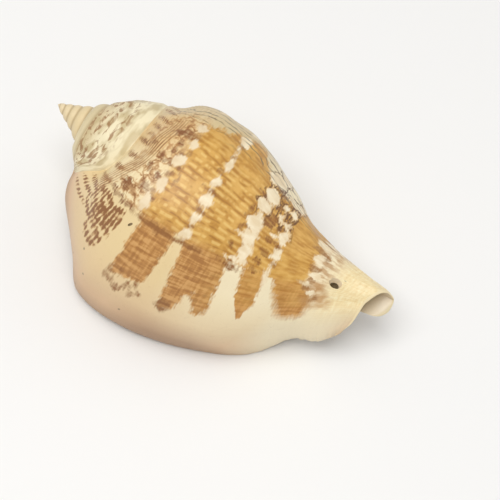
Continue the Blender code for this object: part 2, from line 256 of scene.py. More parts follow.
body_columns = np.arange(BODY_SPREAD[-1][1] + 1)
share = np.interp(body_columns, [n for _, n in BODY_SPREAD], [s for s, _ in BODY_SPREAD])
turns = TURN_LIP - 1 + np.arange(TURN_ROWS + 1) / TURN_ROWS
lean, scallop = reach(share)


def leaned(turn):
    """Turns of the points of one growth line, which reaches ahead near the lip and ends in its scallops."""
    ramp = np.clip((turn - LIP_REACH_START) / (TURN_LIP - LIP_REACH_START), 0.0, 1.0)
    return turn + lean * ramp**2 + scallop * ease(SCALLOP_TURN, TURN_LIP, turn)


# -- outer face of the last whorl --
outer = np.array([place(leaned(t), along(section(t), share)) for t in turns])
T, S = np.meshgrid(turns, share, indexing="ij")    # turn and share of every point of it
away_from_mouth = ease(TURN_LIP, -0.10, T) * ease(-0.93, -0.80, T)
knobs = (0.5 + 0.5 * np.cos(2 * math.pi * T / KNOB_SPACING)) ** KNOB_PEAK
knobs *= np.exp(-((S - KNOB_SHARE) / KNOB_SPREAD) ** 2)
suture_cords = np.exp(-((S - CORD_SHARE) / CORD_SPREAD) ** 2) * np.cos(2 * math.pi * S / CORD_SPACING)
suture_cords *= ease(-0.08, -0.16, T)
canal_cords = np.cos(2 * math.pi * S / CANAL_CORD_SPACING + 1.5 * ripple(T * 3, 1.0))
canal_cords *= ease(0.70, 0.80, S) * ease(0.05, 0.035, T) * (0.6 + 0.6 * ripple(T * 7 + S * 11, 4.0))
swell = ripple(T * 9 + S * 1.5, 2.0) * 0.6 + ripple(T * 4 - S * 5, 0.3)
relief = (KNOB_HEIGHT * knobs + CORD_HEIGHT * suture_cords + SWELL_HEIGHT * swell) * away_from_mouth
relief = (relief + CANAL_CORD_HEIGHT * canal_cords) * ease(0.0, 0.03, S) * ease(1.0, 0.985, S)
relief += through(LIP_SWELL, S)[..., 0] * ease(LIP_SWELL_TURN, 0.0, T)
outer = outer + outward_of(outer) * relief[..., None] * MM

# -- spire: every earlier whorl shows a band from its own suture to the next --
BAND_KNOB_SHARE = 0.45    # the knobs of a band stand here, and fall away over this share on either side
BAND_KNOB_SPREAD = 0.22
BAND_FLATNESS = 0.55      # the last bands bulge more evenly from suture to suture

band_rows = int(round((TURN_LIP - 1 - TURN_FIRST) * TURN_ROWS))
band_turns = TURN_LIP - 1 - (band_rows - np.arange(band_rows + 1)) / TURN_ROWS
band_share = np.linspace(0, 1, BAND_COLUMNS + 1)
band = np.empty((band_rows + 1, BAND_COLUMNS + 1, 3))
for i, t in enumerate(band_turns):
    start = through(SUTURE, t)
    run = through(SUTURE, t + 1) - start
    flatness = 1 - BAND_FLATNESS * float(ease(-1.9, -1.6, t) * ease(-0.95, -1.1, t))
    bulge = float(through(SPIRE_BULGE, t)[0]) * np.sin(np.pi * band_share) ** flatness
    band[i] = place(t, start + run * band_share[:, None] + np.array([-run[1], run[0]]) * bulge[:, None])
BT, BS = np.meshgrid(band_turns, band_share, indexing="ij")
band_knobs = (0.5 - 0.5 * np.cos(2 * math.pi * BT / KNOB_SPACING)) ** KNOB_PEAK
band_knobs *= np.exp(-((BS - BAND_KNOB_SHARE) / BAND_KNOB_SPREAD) ** 2)
band_relief = KNOB_HEIGHT * band_knobs * ease(-2.4, -1.6, BT) * ease(-0.95, -1.05, BT)
band_relief *= np.sin(np.pi * BS) ** 0.5
band = band + outward_of(band) * band_relief[..., None] * MM

# -- inner wall, under the last whorl --
corner = int(np.argmin(np.abs(share - MOUTH_CORNER)))
mouth_share = share[corner:]
walls = through(WALLS, share)
canal = ease(CANAL_FROM, CANAL_FULL, mouth_share)[:, None]
inner = np.empty((HALF_ROWS + 1, len(mouth_share), 3))
pillar = np.empty_like(inner)
depths = np.arange(HALF_ROWS + 1) / HALF_ROWS
turns_in = HOLLOW_TURNS + (CANAL_TURNS - HOLLOW_TURNS) * ease(CANAL_FROM, CANAL_FULL, share)
under = along(section(TURN_LIP - 1), share)
under_drop = float(under[0, 0])
for i, depth in enumerate(depths):
    profile = np.empty((len(share), 2))
    row_turn = TURN_LIP - turns_in * depth
    for t in np.unique(row_turn):
        here = row_turn == t
        lip_part = max(0.0, 1 - (TURN_LIP - t) / LIP_TURNS)
        whole = inward(along(section(t), share), walls[:, 0] + (walls[:, 1] - walls[:, 0]) * lip_part**2)
        profile[here] = whole[here]
    reach_ramp = np.clip((row_turn - LIP_REACH_START) / (TURN_LIP - LIP_REACH_START), 0.0, 1.0)
    inner[i] = place(row_turn + lean * reach_ramp**2 + scallop * (depth == 0), profile)[corner:]
    # pillar: the whorl under the lip goes on inwards, getting shorter and narrower
    shift = through(SUTURE, TURN_LIP - HOLLOW_TURNS * depth)[0] - SUTURE[-1][1]
    column = np.column_stack([
        under_drop + shift + (under[:, 0] - under_drop) * (1 - INNER_SHORTENING * depth),
        under[:, 1] * (1 - INNER_NARROWING * depth) + CALLUS * ease(0.0, CALLUS_RUN, depth),
    ])
    pillar[i] = place(TURN_LIP - 1 - HOLLOW_TURNS * depth, column)[corner:]
leave = ease(0.0, CORNER_FILLET, mouth_share - mouth_share[0])[:, None]
inner = pillar[:, :1] * (1 - leave) + inner * leave
far_end = inner[-1] * canal + (inner[-1] + pillar[-1]) / 2 * (1 - canal)
wedge = ease(WEDGE_FROM, 1.0, depths)[:, None, None]
inner = inner * (1 - wedge) + far_end * wedge
pillar = pillar * (1 - wedge) + far_end * wedge
pillar[0] = outer[0, corner:]

# the pillar opens into the trough of the canal
bed_axial = along(section(TROUGH_TURN), share)[corner:, 0]
bed_bend = through(AXIS_BEND, bed_axial)
bed_local = np.column_stack([bed_axial, -(bed_bend[:, 0] + TROUGH_BED[0]), bed_bend[:, 1] + TROUGH_BED[1]])
bed = bed_local * MM @ laid_turn.T + laid_shift
d = depths[:, None, None]
trough = pillar[0] * (1 - d) ** 2 + bed * 2 * d * (1 - d) + far_end * d**2
pillar = pillar * (1 - canal) + trough * canal

# -- rounded rim of the lip --
inside_edge = np.vstack([outer[0, :corner], inner[0]])
forward = unit(outer[-1] - outer[-2])
half = (outer[-1] - inside_edge) / 2
middle = (outer[-1] + inside_edge) / 2
open_rim = ease(0.0, RIM_OPENS, share)[:, None, None]
across = band_share[None, :, None]
half_circle = np.cos(np.pi * across) * open_rim + (1 - 2 * across) * (1 - open_rim)
half_width = np.linalg.norm(half, axis=-1)[:, None, None]
ahead = RIM_AHEAD * MM * half_width / half_width.max() * np.sin(np.pi * across) * open_rim
rim = middle[:, None] + half[:, None] * half_circle + forward[:, None] * ahead
rim_start = band[-1, ::-1]
rim = rim + (rim_start - rim[0])[None] * (1 - open_rim)

# -- end of the canal: a rounded edge between the outer and the inner face --
outer_ring = outer[::-1, -1]
inner_ring = np.vstack([inner[:, -1], pillar[-2::-1, -1]])
half = (outer_ring - inner_ring) / 2
half_width = np.linalg.norm(half, axis=-1)[:, None, None]
axis_way = laid_turn[:, 0]
along_rim = ease(0, TIP_ROWS, np.arange(TURN_ROWS + 1))[:, None]
tip_forward = unit(forward[-1] * (1 - along_rim) + axis_way * along_rim)
tip_ahead = np.minimum(half_width, TIP_ROUNDING * MM) * np.sin(np.pi * across)
tip = ((outer_ring + inner_ring)[:, None] / 2 + half[:, None] * np.cos(np.pi * across)
       + tip_forward[:, None] * tip_ahead)
tip[0] = rim[-1]

# -- blunt apex --
apex_ring = np.vstack([band[:TURN_ROWS + 1, 0], band[0, -2::-1]])
apex_point = np.array([-APEX_REACH * MM, 0.0, 0.0]) @ laid_turn.T + laid_shift
cap_share = np.linspace(0, 1, 5)[None, :, None]
apex = apex_ring[:, None] * (1 - cap_share) + apex_point * cap_share


# -- pigment: how far inside each mark every point of the outer layer stands, in mm --
TURN_MM = 100.0           # a turn is about 100 mm of growth, and the whole share about 60 mm
SHARE_MM = 60.0
# Bars run along the growth: their upper and lower edge, as shares at three turns, and the turns where they
# stop above, in the middle and below
BAR_TURNS = (-0.14, -0.09, -0.04)
BARS = (
    ((0.295, 0.296, 0.300), (0.396, 0.397, 0.392), (-0.040, -0.042, -0.048)),
    ((0.424, 0.437, 0.450), (0.548, 0.558, 0.566), (-0.022, -0.034, -0.036)),
    ((0.596, 0.604, 0.632), (0.650, 0.661, 0.657), (-0.082, -0.042, -0.062)),
    ((0.672, 0.696, 0.735), (0.775, 0.824, 0.818), (-0.042, -0.032, -0.036)),
)
FIELD = (0.225, 0.790, -0.136)    # further back they run together: share above, share below, turn
# and end in patches over the cream: (share, turn)
FIELD_BACK = ((0.28, -0.325), (0.36, -0.355), (0.45, -0.400), (0.50, -0.365), (0.54, -0.338),
              (0.59, -0.350), (0.64, -0.355), (0.68, -0.430), (0.75, -0.460), (0.80, -0.390))
NOTCH = (-0.030, 0.513, 0.027, 0.020)     # cream bay in the end of the second bar
# Cream patches: (turn, share, half length in turns, half height in shares)
PATCHES = (
    (-0.312, 0.262, 0.010, 0.020), (-0.271, 0.277, 0.011, 0.016), (-0.234, 0.273, 0.012, 0.021),
    (-0.186, 0.277, 0.013, 0.017), (-0.152, 0.272, 0.013, 0.017),
    (-0.359, 0.396, 0.019, 0.021), (-0.321, 0.396, 0.013, 0.008), (-0.281, 0.404, 0.016, 0.012),
    (-0.240, 0.405, 0.015, 0.012), (-0.205, 0.415, 0.014, 0.017), (-0.172, 0.416, 0.011, 0.013),
    (-0.145, 0.418, 0.012, 0.014),
    (-0.367, 0.554, 0.021, 0.026), (-0.308, 0.562, 0.019, 0.027), (-0.273, 0.556, 0.016, 0.026),
    (-0.247, 0.560, 0.013, 0.010), (-0.224, 0.560, 0.018, 0.028), (-0.194, 0.567, 0.018, 0.021),
    (-0.191, 0.545, 0.005, 0.024), (-0.161, 0.577, 0.019, 0.018), (-0.1435, 0.556, 0.005, 0.024),
    (-0.318, 0.614, 0.010, 0.010), (-0.330, 0.643, 0.016, 0.012), (-0.284, 0.619, 0.013, 0.009),
    (-0.281, 0.646, 0.014, 0.009), (-0.349, 0.528, 0.015, 0.020), (-0.364, 0.618, 0.013, 0.020),
    (-0.243, 0.654, 0.023, 0.016),
    (-0.191, 0.657, 0.018, 0.015), (-0.144, 0.655, 0.024, 0.008), (-0.232, 0.627, 0.006, 0.012),
    (-0.340, 0.764, 0.024, 0.026), (-0.248, 0.776, 0.026, 0.017), (-0.178, 0.792, 0.014, 0.021),
    (-0.112, 0.803, 0.012, 0.014), (-0.143, 0.777, 0.009, 0.008),
    (-0.410, 0.270, 0.014, 0.018), (-0.455, 0.265, 0.017, 0.020), (-0.500, 0.272, 0.013, 0.018),
    (-0.412, 0.402, 0.015, 0.014), (-0.452, 0.398, 0.017, 0.018), (-0.495, 0.400, 0.014, 0.012),
    (-0.535, 0.398, 0.018, 0.017), (-0.410, 0.560, 0.018, 0.024), (-0.446, 0.552, 0.015, 0.020),
    (-0.486, 0.560, 0.020, 0.028), (-0.528, 0.556, 0.015, 0.018), (-0.378, 0.648, 0.018, 0.014),
    (-0.422, 0.652, 0.020, 0.016), (-0.468, 0.650, 0.017, 0.014), (-0.514, 0.652, 0.020, 0.017),
    (-0.402, 0.775, 0.020, 0.022), (-0.458, 0.780, 0.026, 0.024), (-0.520, 0.776, 0.020, 0.022),
)
# Dark brown patches between them, given in the same way
BROWNS = (
    (-0.225, 0.236, 0.005, 0.012), (-0.244, 0.152, 0.005, 0.014), (-0.173, 0.238, 0.006, 0.016),
    (-0.160, 0.188, 0.006, 0.014),
    (-0.206, 0.279, 0.006, 0.008), (-0.221, 0.292, 0.005, 0.007), (-0.256, 0.284, 0.006, 0.008),
    (-0.289, 0.226, 0.006, 0.022),
    (-0.247, 0.237, 0.005, 0.010), (-0.202, 0.202, 0.006, 0.013), (-0.196, 0.250, 0.005, 0.010),
    (-0.227, 0.208, 0.005, 0.010),
    (-0.286, 0.258, 0.008, 0.026), (-0.281, 0.212, 0.006, 0.030), (-0.262, 0.240, 0.006, 0.013),
    (-0.245, 0.267, 0.004, 0.009), (-0.2535, 0.286, 0.005, 0.010),
    (-0.2235, 0.250, 0.004, 0.014), (-0.205, 0.269, 0.005, 0.009), (-0.169, 0.244, 0.005, 0.018),
    (-0.169, 0.270, 0.005, 0.009), (-0.1625, 0.289, 0.006, 0.009), (-0.157, 0.187, 0.006, 0.018),
    (-0.208, 0.306, 0.009, 0.005), (-0.1325, 0.187, 0.0035, 0.050), (-0.131, 0.240, 0.004, 0.028),
    (-0.1295, 0.345, 0.006, 0.054), (-0.129, 0.410, 0.0045, 0.018), (-0.130, 0.455, 0.004, 0.026),
    (-0.2595, 0.396, 0.005, 0.013), (-0.2225, 0.412, 0.0045, 0.020), (-0.186, 0.417, 0.0055, 0.016),
    (-0.1585, 0.418, 0.0040, 0.010), (-0.299, 0.401, 0.005, 0.007), (-0.336, 0.401, 0.006, 0.008),
    (-0.248, 0.532, 0.008, 0.006), (-0.2905, 0.548, 0.0045, 0.026), (-0.248, 0.595, 0.013, 0.020),
    (-0.2115, 0.548, 0.004, 0.010), (-0.182, 0.566, 0.006, 0.007), (-0.200, 0.531, 0.006, 0.007),
    (-0.1345, 0.551, 0.005, 0.022), (-0.1265, 0.563, 0.0032, 0.020), (-0.165, 0.534, 0.005, 0.008),
    (-0.229, 0.535, 0.004, 0.010),
    (-0.2155, 0.622, 0.008, 0.014), (-0.184, 0.625, 0.008, 0.015), (-0.160, 0.616, 0.007, 0.010),
    (-0.1395, 0.616, 0.004, 0.014), (-0.255, 0.632, 0.004, 0.009), (-0.302, 0.596, 0.013, 0.008),
    (-0.266, 0.600, 0.010, 0.014), (-0.296, 0.638, 0.004, 0.012), (-0.279, 0.650, 0.010, 0.004),
    (-0.263, 0.645, 0.004, 0.009), (-0.214, 0.655, 0.007, 0.011), (-0.169, 0.662, 0.007, 0.006),
    (-0.343, 0.592, 0.010, 0.008), (-0.345, 0.652, 0.006, 0.008),
    (-0.294, 0.770, 0.015, 0.030), (-0.205, 0.783, 0.013, 0.020), (-0.156, 0.786, 0.010, 0.014),
    (-0.127, 0.782, 0.009, 0.014), (-0.280, 0.800, 0.020, 0.008), (-0.093, 0.820, 0.010, 0.010),
    (-0.043, 0.300, 0.0045, 0.007), (-0.032, 0.301, 0.0045, 0.007), (-0.028, 0.318, 0.0045, 0.008),
    (-0.022, 0.341, 0.0050, 0.008), (-0.025, 0.354, 0.0045, 0.007), (-0.031, 0.361, 0.0045, 0.007),
    (-0.039, 0.356, 0.0040, 0.006), (-0.047, 0.330, 0.0040, 0.006), (-0.040, 0.381, 0.0045, 0.007),
    (-0.023, 0.382, 0.0035, 0.006), (-0.029, 0.397, 0.0035, 0.006), (-0.030, 0.466, 0.010, 0.018),
    (-0.424, 0.400, 0.006, 0.014), (-0.470, 0.400, 0.005, 0.016), (-0.512, 0.400, 0.006, 0.012),
    (-0.428, 0.556, 0.006, 0.020), (-0.466, 0.556, 0.006, 0.022), (-0.508, 0.556, 0.006, 0.020),
    (-0.400, 0.650, 0.006, 0.012), (-0.446, 0.650, 0.006, 0.012), (-0.492, 0.650, 0.006, 0.012),
    (-0.372, 0.772, 0.010, 0.024), (-0.430, 0.776, 0.010, 0.024), (-0.490, 0.776, 0.010, 0.024),
)
# Soft tan where the last bar spreads out to the canal
BLUSHES = ((-0.122, 0.812, 0.034, 0.020), (-0.094, 0.840, 0.018, 0.018), (-0.080, 0.866, 0.012, 0.012))
POINTED = 0.35            # the patches of the lower rows narrow towards the suture
# Columns of brown dashes in the upper band, (turn, share above, share below, strength), and streaks that fan
# out from the suture, (turn, strength)
DASH_COLUMNS = ((-0.046, 0.165, 0.240, 0.9), (-0.062, 0.110, 0.246, 1.0), (-0.077, 0.140, 0.252, 1.15),
                (-0.090, 0.100, 0.254, 1.25), (-0.102, 0.150, 0.257, 1.25), (-0.114, 0.115, 0.252, 1.2))
FAN_STREAKS = ((-0.058, 0.65), (-0.085, 0.8), (-0.108, 0.9), (-0.134, 0.9), (-0.168, 1.05), (-0.202, 1.0),
               (-0.236, 1.05), (-0.256, 0.6), (-0.278, 0.8), (-0.300, 0.85), (-0.330, 0.85), (-0.352, 0.6))
STREAK_HALF = 0.0056      # half breadth of a column or streak, in turns
FAN_MIDDLE = -0.2         # the streaks spread away from this turn, from this share up to the suture
FAN_ENDS = 0.13
FAN_SPREAD = 3.5
# Fine brown threads that slant from the suture across the fans: (turn, share) down their middle
THREADS = ((-0.33, 0.180), (-0.27, 0.175), (-0.237, 0.168), (-0.203, 0.160), (-0.183, 0.148),
           (-0.149, 0.124), (-0.102, 0.088))
NET_STRENGTH = 0.85
NET_UNDER_THREADS = 0.75  # share of the net that gives way where the threads run
FAR_OUTSIDE = -9.0        # mm, for points that no mark is near


def ovals(table, pointed):
    """How far inside the nearest of a table of ovals each point stands, in mm."""
    inside = np.full_like(T, FAR_OUTSIDE)
    for turn, at, half_turn, half_share in table:
        y = (warped_share - at) / half_share
        narrow = 1 - (pointed if at > 0.5 else 0.0) * np.clip(y, -1.6, 1.6)
        small = min(half_turn * TURN_MM, half_share * SHARE_MM)
        inside = np.maximum(inside, (1 - np.hypot((warped_turn - turn) / half_turn * narrow, y)) * small)
    return inside


def parabola(heights, x):
    """Curve through three heights, at x = 0, a half and 1."""
    first, middle, last = heights
    return first * (1 - x) * (1 - 2 * x) + middle * 4 * x * (1 - x) + last * x * (2 * x - 1)


# edges wander by a few tenths of a millimetre, so that no patch is a true oval
warped_turn = T + 0.0030 * ripple(S * 23 + T * 11, 0.4) + 0.0016 * ripple(S * 52, 3.0)
warped_share = S + 0.0030 * ripple(T * 31 - S * 7, 1.9)
field_edge = (T - through(FIELD_BACK, S)[..., 0] - 0.008 * ripple(S * 12, 2.2)) * TURN_MM
bars_mm = np.minimum(np.minimum(S - FIELD[0], FIELD[1] - S) * SHARE_MM, (FIELD[2] - T) * TURN_MM)
bar_run = (T - BAR_TURNS[0]) / (BAR_TURNS[2] - BAR_TURNS[0])
for upper, lower, stops_at in BARS:
    above = parabola(upper, bar_run)
    below = parabola(lower, bar_run)
    stop = parabola(stops_at, np.clip((S - above) / np.maximum(below - above, 0.01), 0.0, 1.0))
    band_mm = np.minimum(np.minimum(S - above, below - S) * SHARE_MM, (stop - T) * TURN_MM)
    bars_mm = np.maximum(bars_mm, np.where(T > BAR_TURNS[0] - 0.01, band_mm, FAR_OUTSIDE))
bars_mm = np.minimum(bars_mm, -ovals((NOTCH,), 0.0))

fan_turn = FAN_MIDDLE + (T - FAN_MIDDLE) / (1 + FAN_SPREAD * np.maximum(FAN_ENDS - S, 0.0))
net_share = ease(0.105, 0.135, S) * ease(0.285, 0.245, S) * ease(-0.128, -0.140, T)
net_share *= ease(-0.37, -0.31, T)
dash_share = np.zeros_like(T)
for column, above, below, strength in DASH_COLUMNS:
    dashes = strength * np.exp(-((T - column - 0.004 * ripple(S * 9, column * 90)) / STREAK_HALF) ** 2)
    dashes *= ease(above - 0.015, above + 0.015, S) * ease(below, below - 0.012, S)
    dash_share = np.maximum(dash_share, dashes)
for streak, strength in FAN_STREAKS:
    fan = strength * np.exp(-((fan_turn - streak) / STREAK_HALF) ** 2)
    starts = ease(0.0, 0.05 if streak > -0.12 else 0.085, S)
    dash_share = np.maximum(dash_share, fan * starts * ease(0.145, 0.110, S))
thread_mm = (S - through(THREADS, T)[..., 0]) * SHARE_MM
thread_share = ease(-2.1, -1.5, thread_mm) * ease(2.0, 1.3, thread_mm)
thread_share *= ease(-0.33, -0.29, T) * ease(-0.100, -0.112, T) * (0.75 + 0.25 * ripple(T * 16, 1.1))
net_share = NET_STRENGTH * net_share * (1 - NET_UNDER_THREADS * thread_share)
marks = {
    "bar_mm": bars_mm, "field_mm": field_edge, "patch_mm": ovals(PATCHES, POINTED),
    "brown_mm": ovals(BROWNS, 0.0), "blush_mm": ovals(BLUSHES, 0.0), "net_share": net_share,
    "dash_share": dash_share, "thread_mm": thread_mm, "thread_share": thread_share,
}


def grown_patch(name, grid, growth, matter, painted=None):
    """A grid primitive drawn over the points of one face of the shell, with the growth kept as its UV map."""
    rows, columns = grid.shape[:2]
    bpy.ops.mesh.primitive_grid_add(x_subdivisions=columns - 1, y_subdivisions=rows - 1, size=1)
    patch = bpy.context.object
    patch.name = name
    mesh = patch.data
    mesh.vertices.foreach_set("co", grid.reshape(-1).astype(np.float32))
    uv = mesh.uv_layers[0]
    uv.name = "growth"
    corner_vertex = np.empty(len(mesh.loops), dtype=np.int32)
    mesh.loops.foreach_get("vertex_index", corner_vertex)
    uv.data.foreach_set("uv", growth.reshape(-1, 2)[corner_vertex].reshape(-1).astype(np.float32))
    if painted is not None:
        for title, values in painted.items():
            paint = mesh.attributes.new(title, "FLOAT", "CORNER")
            paint.data.foreach_set("value", values.reshape(-1)[corner_vertex].astype(np.float32))
    mesh.materials.append(matter)
    patch.select_set(False)
    return patch


def growth_of(rows, columns):
    """(turn, share) pairs of a grid from its row turns and column shares."""
    return np.stack(np.meshgrid(rows, columns, indexing="ij"), axis=-1)


outer_matter = bpy.data.materials.new("Outer layer, banded aragonite")
spire_matter = bpy.data.materials.new("Spire, worn aragonite")
glaze_matter = bpy.data.materials.new("Callus glaze")

apex_growth = growth_of(np.linspace(-6.5, -6.45, len(apex)), np.linspace(1, 0, 5))
patches = [
    grown_patch("conch_outer_layer", outer, growth_of(turns, share), outer_matter, marks),
    grown_patch("spire", band, growth_of(band_turns, band_share), spire_matter),
    grown_patch("apex", apex, apex_growth, spire_matter),
    grown_patch("rim", rim, growth_of(share * 0.9, band_share), glaze_matter),
    grown_patch("canal_end", tip, growth_of(np.linspace(0.9, 0.99, len(tip)), band_share), glaze_matter),
    grown_patch("inner_wall", inner, growth_of(1 + depths, mouth_share), glaze_matter),
    grown_patch("pillar", pillar, growth_of(2 + depths, mouth_share), glaze_matter),
]
for patch in patches:
    patch.select_set(True)
shell = patches[0]
bpy.context.view_layer.objects.active = shell
bpy.ops.object.join()
bpy.ops.object.mode_set(mode="EDIT")
bpy.ops.mesh.select_all(action="SELECT")
bpy.ops.mesh.remove_doubles(threshold=WELD)
bpy.ops.mesh.normals_make_consistent(inside=False)
bpy.ops.object.mode_set(mode="OBJECT")

# -- bored hole: a bevelled bore, slanting in under the lip side, through the roof of the canal --
BORE_DEPTH = 2.1          # length of the drill, and how far of it stands clear of the surface
BORE_CLEAR = 0.35
BORE_LEAN = (1.05, -0.45) # how far it leans to the lip and to the suture for each step in
BORE_SQUEEZE = 0.72       # the hole is narrower the way it leans
BORE_SIDES = 40


def spot_grid(turn, share):
    """Three by three points of the outer face round one spot, rows by turn and columns by share."""
    steps = np.array([-0.01, 0.0, 0.01])
    return place(turn + np.array([steps] * 3).T, np.array([along(section(turn), share + steps)] * 3))


bore_grid = spot_grid(BORE_TURN, BORE_SHARE)
to_lip = unit(bore_grid[2, 1] - bore_grid[0, 1])
to_suture = unit(bore_grid[1, 0] - bore_grid[1, 2])
bore_out = unit(np.cross(to_suture, to_lip))
bore_way = unit(bore_out - to_lip * BORE_LEAN[0] - to_suture * BORE_LEAN[1])
bore_widening = (BORE_MOUTH - BORE_THROAT) / 2
bpy.ops.mesh.primitive_cone_add(vertices=BORE_SIDES, radius1=BORE_THROAT / 2 * MM,
                                radius2=(BORE_MOUTH / 2 + bore_widening * BORE_CLEAR / BORE_DEPTH) * MM,
                                depth=BORE_DEPTH * MM)
bore = bpy.context.object
bore.name = "bored_hole"
bored_matter = bpy.data.materials.new("Aragonite wall, bored through")
bore.data.materials.append(bored_matter)
bore_middle = bore_grid[1, 1] + bore_way * (BORE_CLEAR - BORE_DEPTH / 2) * MM
bore_side = unit(np.cross(bore_way, bore_out))
bore_frame = np.column_stack([np.cross(bore_side, bore_way) * BORE_SQUEEZE, bore_side, bore_way])
bore_turned = Matrix(bore_frame.tolist()).to_4x4()
bore_turned.translation = Vector(bore_middle)
bore.data.transform(bore_turned)
bore.select_set(False)

# -- a small pit beside the first bar, cut in the same stroke --
PIT_TURN = -0.1107
PIT_SHARE = 0.2768
PIT_HALF = (0.58, 0.22, 0.16)     # half length, width and depth
PIT_SLANT = 1.1           # it slants this much towards the suture for each step to the lip

pit_grid = spot_grid(PIT_TURN, PIT_SHARE)
pit_along = unit(pit_grid[2, 1] - pit_grid[0, 1] - PIT_SLANT * (pit_grid[1, 2] - pit_grid[1, 0]))
pit_out = unit(np.cross(pit_grid[1, 0] - pit_grid[1, 2], pit_grid[2, 1] - pit_grid[0, 1]))
pit_along = unit(pit_along - pit_out * np.dot(pit_along, pit_out))
bpy.ops.mesh.primitive_uv_sphere_add(segments=24, ring_count=12, radius=MM)
pit = bpy.context.object
pit.name = "pit"
pit_matter = bpy.data.materials.new("Dark inside of the pit")
pit.data.materials.append(pit_matter)
pit_frame = np.column_stack([pit_along * PIT_HALF[0], np.cross(pit_out, pit_along) * PIT_HALF[1],
                             pit_out * PIT_HALF[2]])
pit_turned = Matrix(pit_frame.tolist()).to_4x4()
pit_turned.translation = Vector(pit_grid[1, 1])
pit.data.transform(pit_turned)
bore.select_set(True)
bpy.context.view_layer.objects.active = bore
bpy.ops.object.join()
bore.select_set(False)
bpy.context.view_layer.objects.active = shell
shell.select_set(True)
drill = shell.modifiers.new("Bored hole", "BOOLEAN")
drill.operation = "DIFFERENCE"
drill.solver = "EXACT"
drill.material_mode = "TRANSFER"
drill.object = bore
bpy.ops.object.modifier_apply(modifier=drill.name)
bpy.data.objects.remove(bore, do_unlink=True)
bpy.ops.object.shade_smooth_by_angle(angle=math.radians(SMOOTH_BELOW))


def linear(hex_colour):
    """An sRGB hex colour as the linear RGBA that sockets take."""
    parts = [int(hex_colour[i:i + 2], 16) / 255 for i in (1, 3, 5)]
    return tuple(p / 12.92 if p <= 0.04045 else ((p + 0.055) / 1.055) ** 2.4 for p in parts) + (1.0,)


def add(tree, kind, feeds, stops=None, **settings):
    """Add a shader node with its settings, feed its sockets with nodes, sockets or values, and return it."""
    node = tree.nodes.new("ShaderNode" + kind)
    for name, value in settings.items():
        setattr(node, name, value)
    for name, value in feeds.items():
        socket = node.inputs[name] if isinstance(name, int) else next(
            i for i in node.inputs if i.enabled and i.name == name)
        if isinstance(value, bpy.types.Node):
            value = next(o for o in value.outputs if o.enabled)
        if isinstance(value, bpy.types.NodeSocket):
            tree.links.new(value, socket)
        else:
            socket.default_value = linear(value) if isinstance(value, str) else value
    if stops:
        ramp = node.color_ramp
        while len(ramp.elements) < len(stops):
            ramp.elements.new(1.0)
        for element, (position, colour) in zip(ramp.elements, stops):
            element.position = position
            element.color = linear(colour) if isinstance(colour, str) else (colour, colour, colour, 1.0)
    return node


# -- outer layer: cream aragonite with a pigment laid down in it in spiral bands, satin from wear --
# Aragonite has an IOR of about 1.53; a beach-worn outer layer is smooth but not glossy, so roughness is 0.4.
# Growth coordinates in mm give the scale: growth lines and the cords across them stand about 0.5 mm apart.
outer_matter.use_nodes = True
tree = outer_matter.node_tree
shader = tree.nodes["Principled BSDF"]
growth = add(tree, "UVMap", {}, uv_map="growth")
turn_and_share = add(tree, "SeparateXYZ", {0: growth})
t = turn_and_share.outputs["X"]
s = turn_and_share.outputs["Y"]
in_mm = add(tree, "VectorMath", {0: growth, 1: (TURN_MM, SHARE_MM, 0.0)}, operation="MULTIPLY")
mark = {name: add(tree, "Attribute", {}, attribute_name=name).outputs["Fac"] for name in marks}

# Noises drawn out along or across the growth: (spots in a mm along, and across), detail, distortion
GROWTH_NOISES = {
    "teeth": ((0.8, 3.2), 2.0, 0.0),
    "lines": ((1.9, 0.22), 3.0, 0.0),
    "cords": ((0.30, 2.1), 3.0, 0.0),
    "mottle": ((0.55, 0.38), 3.0, 0.0),
    "cell rows": ((0.26, 0.75), 2.0, 0.3),
    "blotches": ((0.42, 0.42), 3.0, 0.0),
    "dashes": ((0.9, 1.5), 2.0, 0.4),
}
noise = {}
for name, (spots_in_mm, detail, distortion) in GROWTH_NOISES.items():
    stretched = add(tree, "VectorMath", {0: in_mm, 1: (*spots_in_mm, 0.0)}, operation="MULTIPLY")
    noise[name] = add(tree, "TexNoise", {"Vector": stretched, "Scale": 1.0, "Detail": detail,
                                         "Distortion": distortion})
mottle = noise["mottle"]
lines_and_cords = add(tree, "Math", {0: noise["lines"], 1: noise["cords"]}, operation="ADD")
layers = []               # what lies over the cream ground, from the lowest up: (cover, colour)

# edges are ragged: coarse waves, and fine teeth that point along the growth
waves = add(tree, "TexNoise", {"Vector": in_mm, "Scale": 0.60, "Detail": 2.0})
waves = add(tree, "MapRange", {"Value": waves, "From Min": 0.25, "From Max": 0.75,
                               "To Min": -0.30, "To Max": 0.30})
teeth = add(tree, "MapRange", {"Value": noise["teeth"], "From Min": 0.25, "From Max": 0.75,
                               "To Min": -0.40, "To Max": 0.40})
ragged = add(tree, "Math", {0: waves, 1: teeth}, operation="ADD")
bar_edge = add(tree, "Math", {0: mark["bar_mm"], 1: ragged}, operation="ADD")
softness = add(tree, "MapRange", {"Value": s, "From Min": 0.66, "From Max": 0.74,
                                  "To Min": 0.26, "To Max": 1.5})
bars = add(tree, "MapRange", {"Value": bar_edge, "From Min": -0.22, "From Max": softness})
field_edge = add(tree, "Math", {0: ragged, 1: 3.0, 2: mark["field_mm"]}, operation="MULTIPLY_ADD")
field = add(tree, "MapRange", {"Value": field_edge, "From Min": -0.8, "From Max": 0.8})
bars = add(tree, "Math", {0: bars, 1: field}, operation="MULTIPLY")
spot_edge = add(tree, "Math", {0: ragged, 1: 0.70, 2: mark["patch_mm"]}, operation="MULTIPLY_ADD")
spots = add(tree, "MapRange", {"Value": spot_edge, "From Min": -0.18, "From Max": 0.26})

